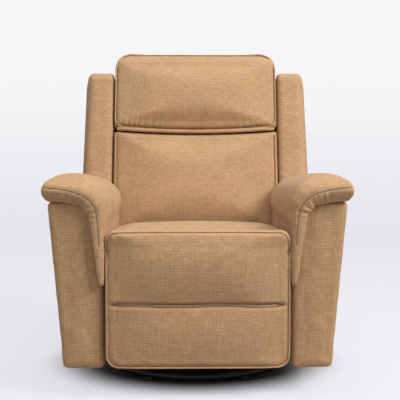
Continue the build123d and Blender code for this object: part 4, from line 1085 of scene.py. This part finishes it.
half, bottom = foot_high.x - FOOT_INSET, foot_low.z + FOOT_INSET
foot_border = [(half, foot_high.z - 0.055 - step * 0.02) for step in range(12)]
for angle in np.radians(np.arange(0, -91, -11.25)):
    across = half - FOOT_TURN + FOOT_TURN * math.cos(angle)
    foot_border.append((across, bottom + FOOT_TURN + FOOT_TURN * math.sin(angle)))
foot_border += [(-across, level) for across, level in reversed(foot_border)]
line = even([Vector((across, BEFORE, level)) for across, level in foot_border], PIPE_STEP)
seeds = [Vector((p.x * NEARER, p.y, max(p.z, foot_low.z + 0.010))) for p in line]
depth = evened(np.array([place.y for place in laid(fabric_tree(foot), seeds, INWARD)]), "edge")
line = [Vector((p.x, float(level) + 0.002, p.z)) for p, level in zip(line, depth)]
pressed(foot, [Vector((p.x * NEARER, p.y, p.z + 0.003)) for p in line], 0.006, 0.003)
piping("foot_piping", line, FOOT_PIPE, "footrest")
dress(foot, "footrest", "foot_pad", fill=0.7)
print("footrest piping", len(line), "places")

# %% [markdown]
# ## Outer back and apron
# The rear of the back and the strip under it are fabric pulled tight over board: no swelling, only soft edges.

# %% Outer back and apron
for node, body in (("outer_back", "backrest"), ("rear_apron", "chair_frame")):
    panel = skin_of(node, node + "_cover", 0.0055)
    relaxed(panel.data, 3)
    if body == "backrest":
        leaned_in(panel)
    dress(panel, body, node, fill=0.2)
    print(panel.name, "points", len(panel.data.vertices))

# %% [markdown]
# ## Floor ring
# The ring is one bent steel tube. Spinning a small circle round the upright axis gives a smoother tube than the
# solid's flats.

# %% Floor ring
ring_low, ring_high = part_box("base_ring")
tube = (ring_high.z - ring_low.z) / 2
hoop = bmesh.new()
bmesh.ops.create_circle(hoop, cap_ends=False, segments=28, radius=tube)
bmesh.ops.rotate(hoop, verts=hoop.verts, cent=(0, 0, 0), matrix=Matrix.Rotation(math.pi / 2, 3, "X"))
bmesh.ops.translate(hoop, verts=hoop.verts, vec=(ring_high.x - tube, 0.0, ring_low.z + tube))
bmesh.ops.spin(hoop, geom=hoop.verts[:] + hoop.edges[:], cent=(0, 0, 0), axis=(0, 0, 1), angle=2 * math.pi,
               steps=144, use_merge=True)
bmesh.ops.remove_doubles(hoop, verts=hoop.verts, dist=1e-5)
bmesh.ops.recalc_face_normals(hoop, faces=hoop.faces)
ring_mesh = bpy.data.meshes.new("floor_ring_tube")
hoop.to_mesh(ring_mesh)
hoop.free()
ring = new_piece("floor_ring_tube", ring_mesh)
ring_mesh.materials.append(FINISHES["black_steel"])
for face in ring_mesh.polygons:
    face.use_smooth = True
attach(ring, "floor_base")
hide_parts("base_ring")
print("ring faces", len(ring_mesh.polygons))
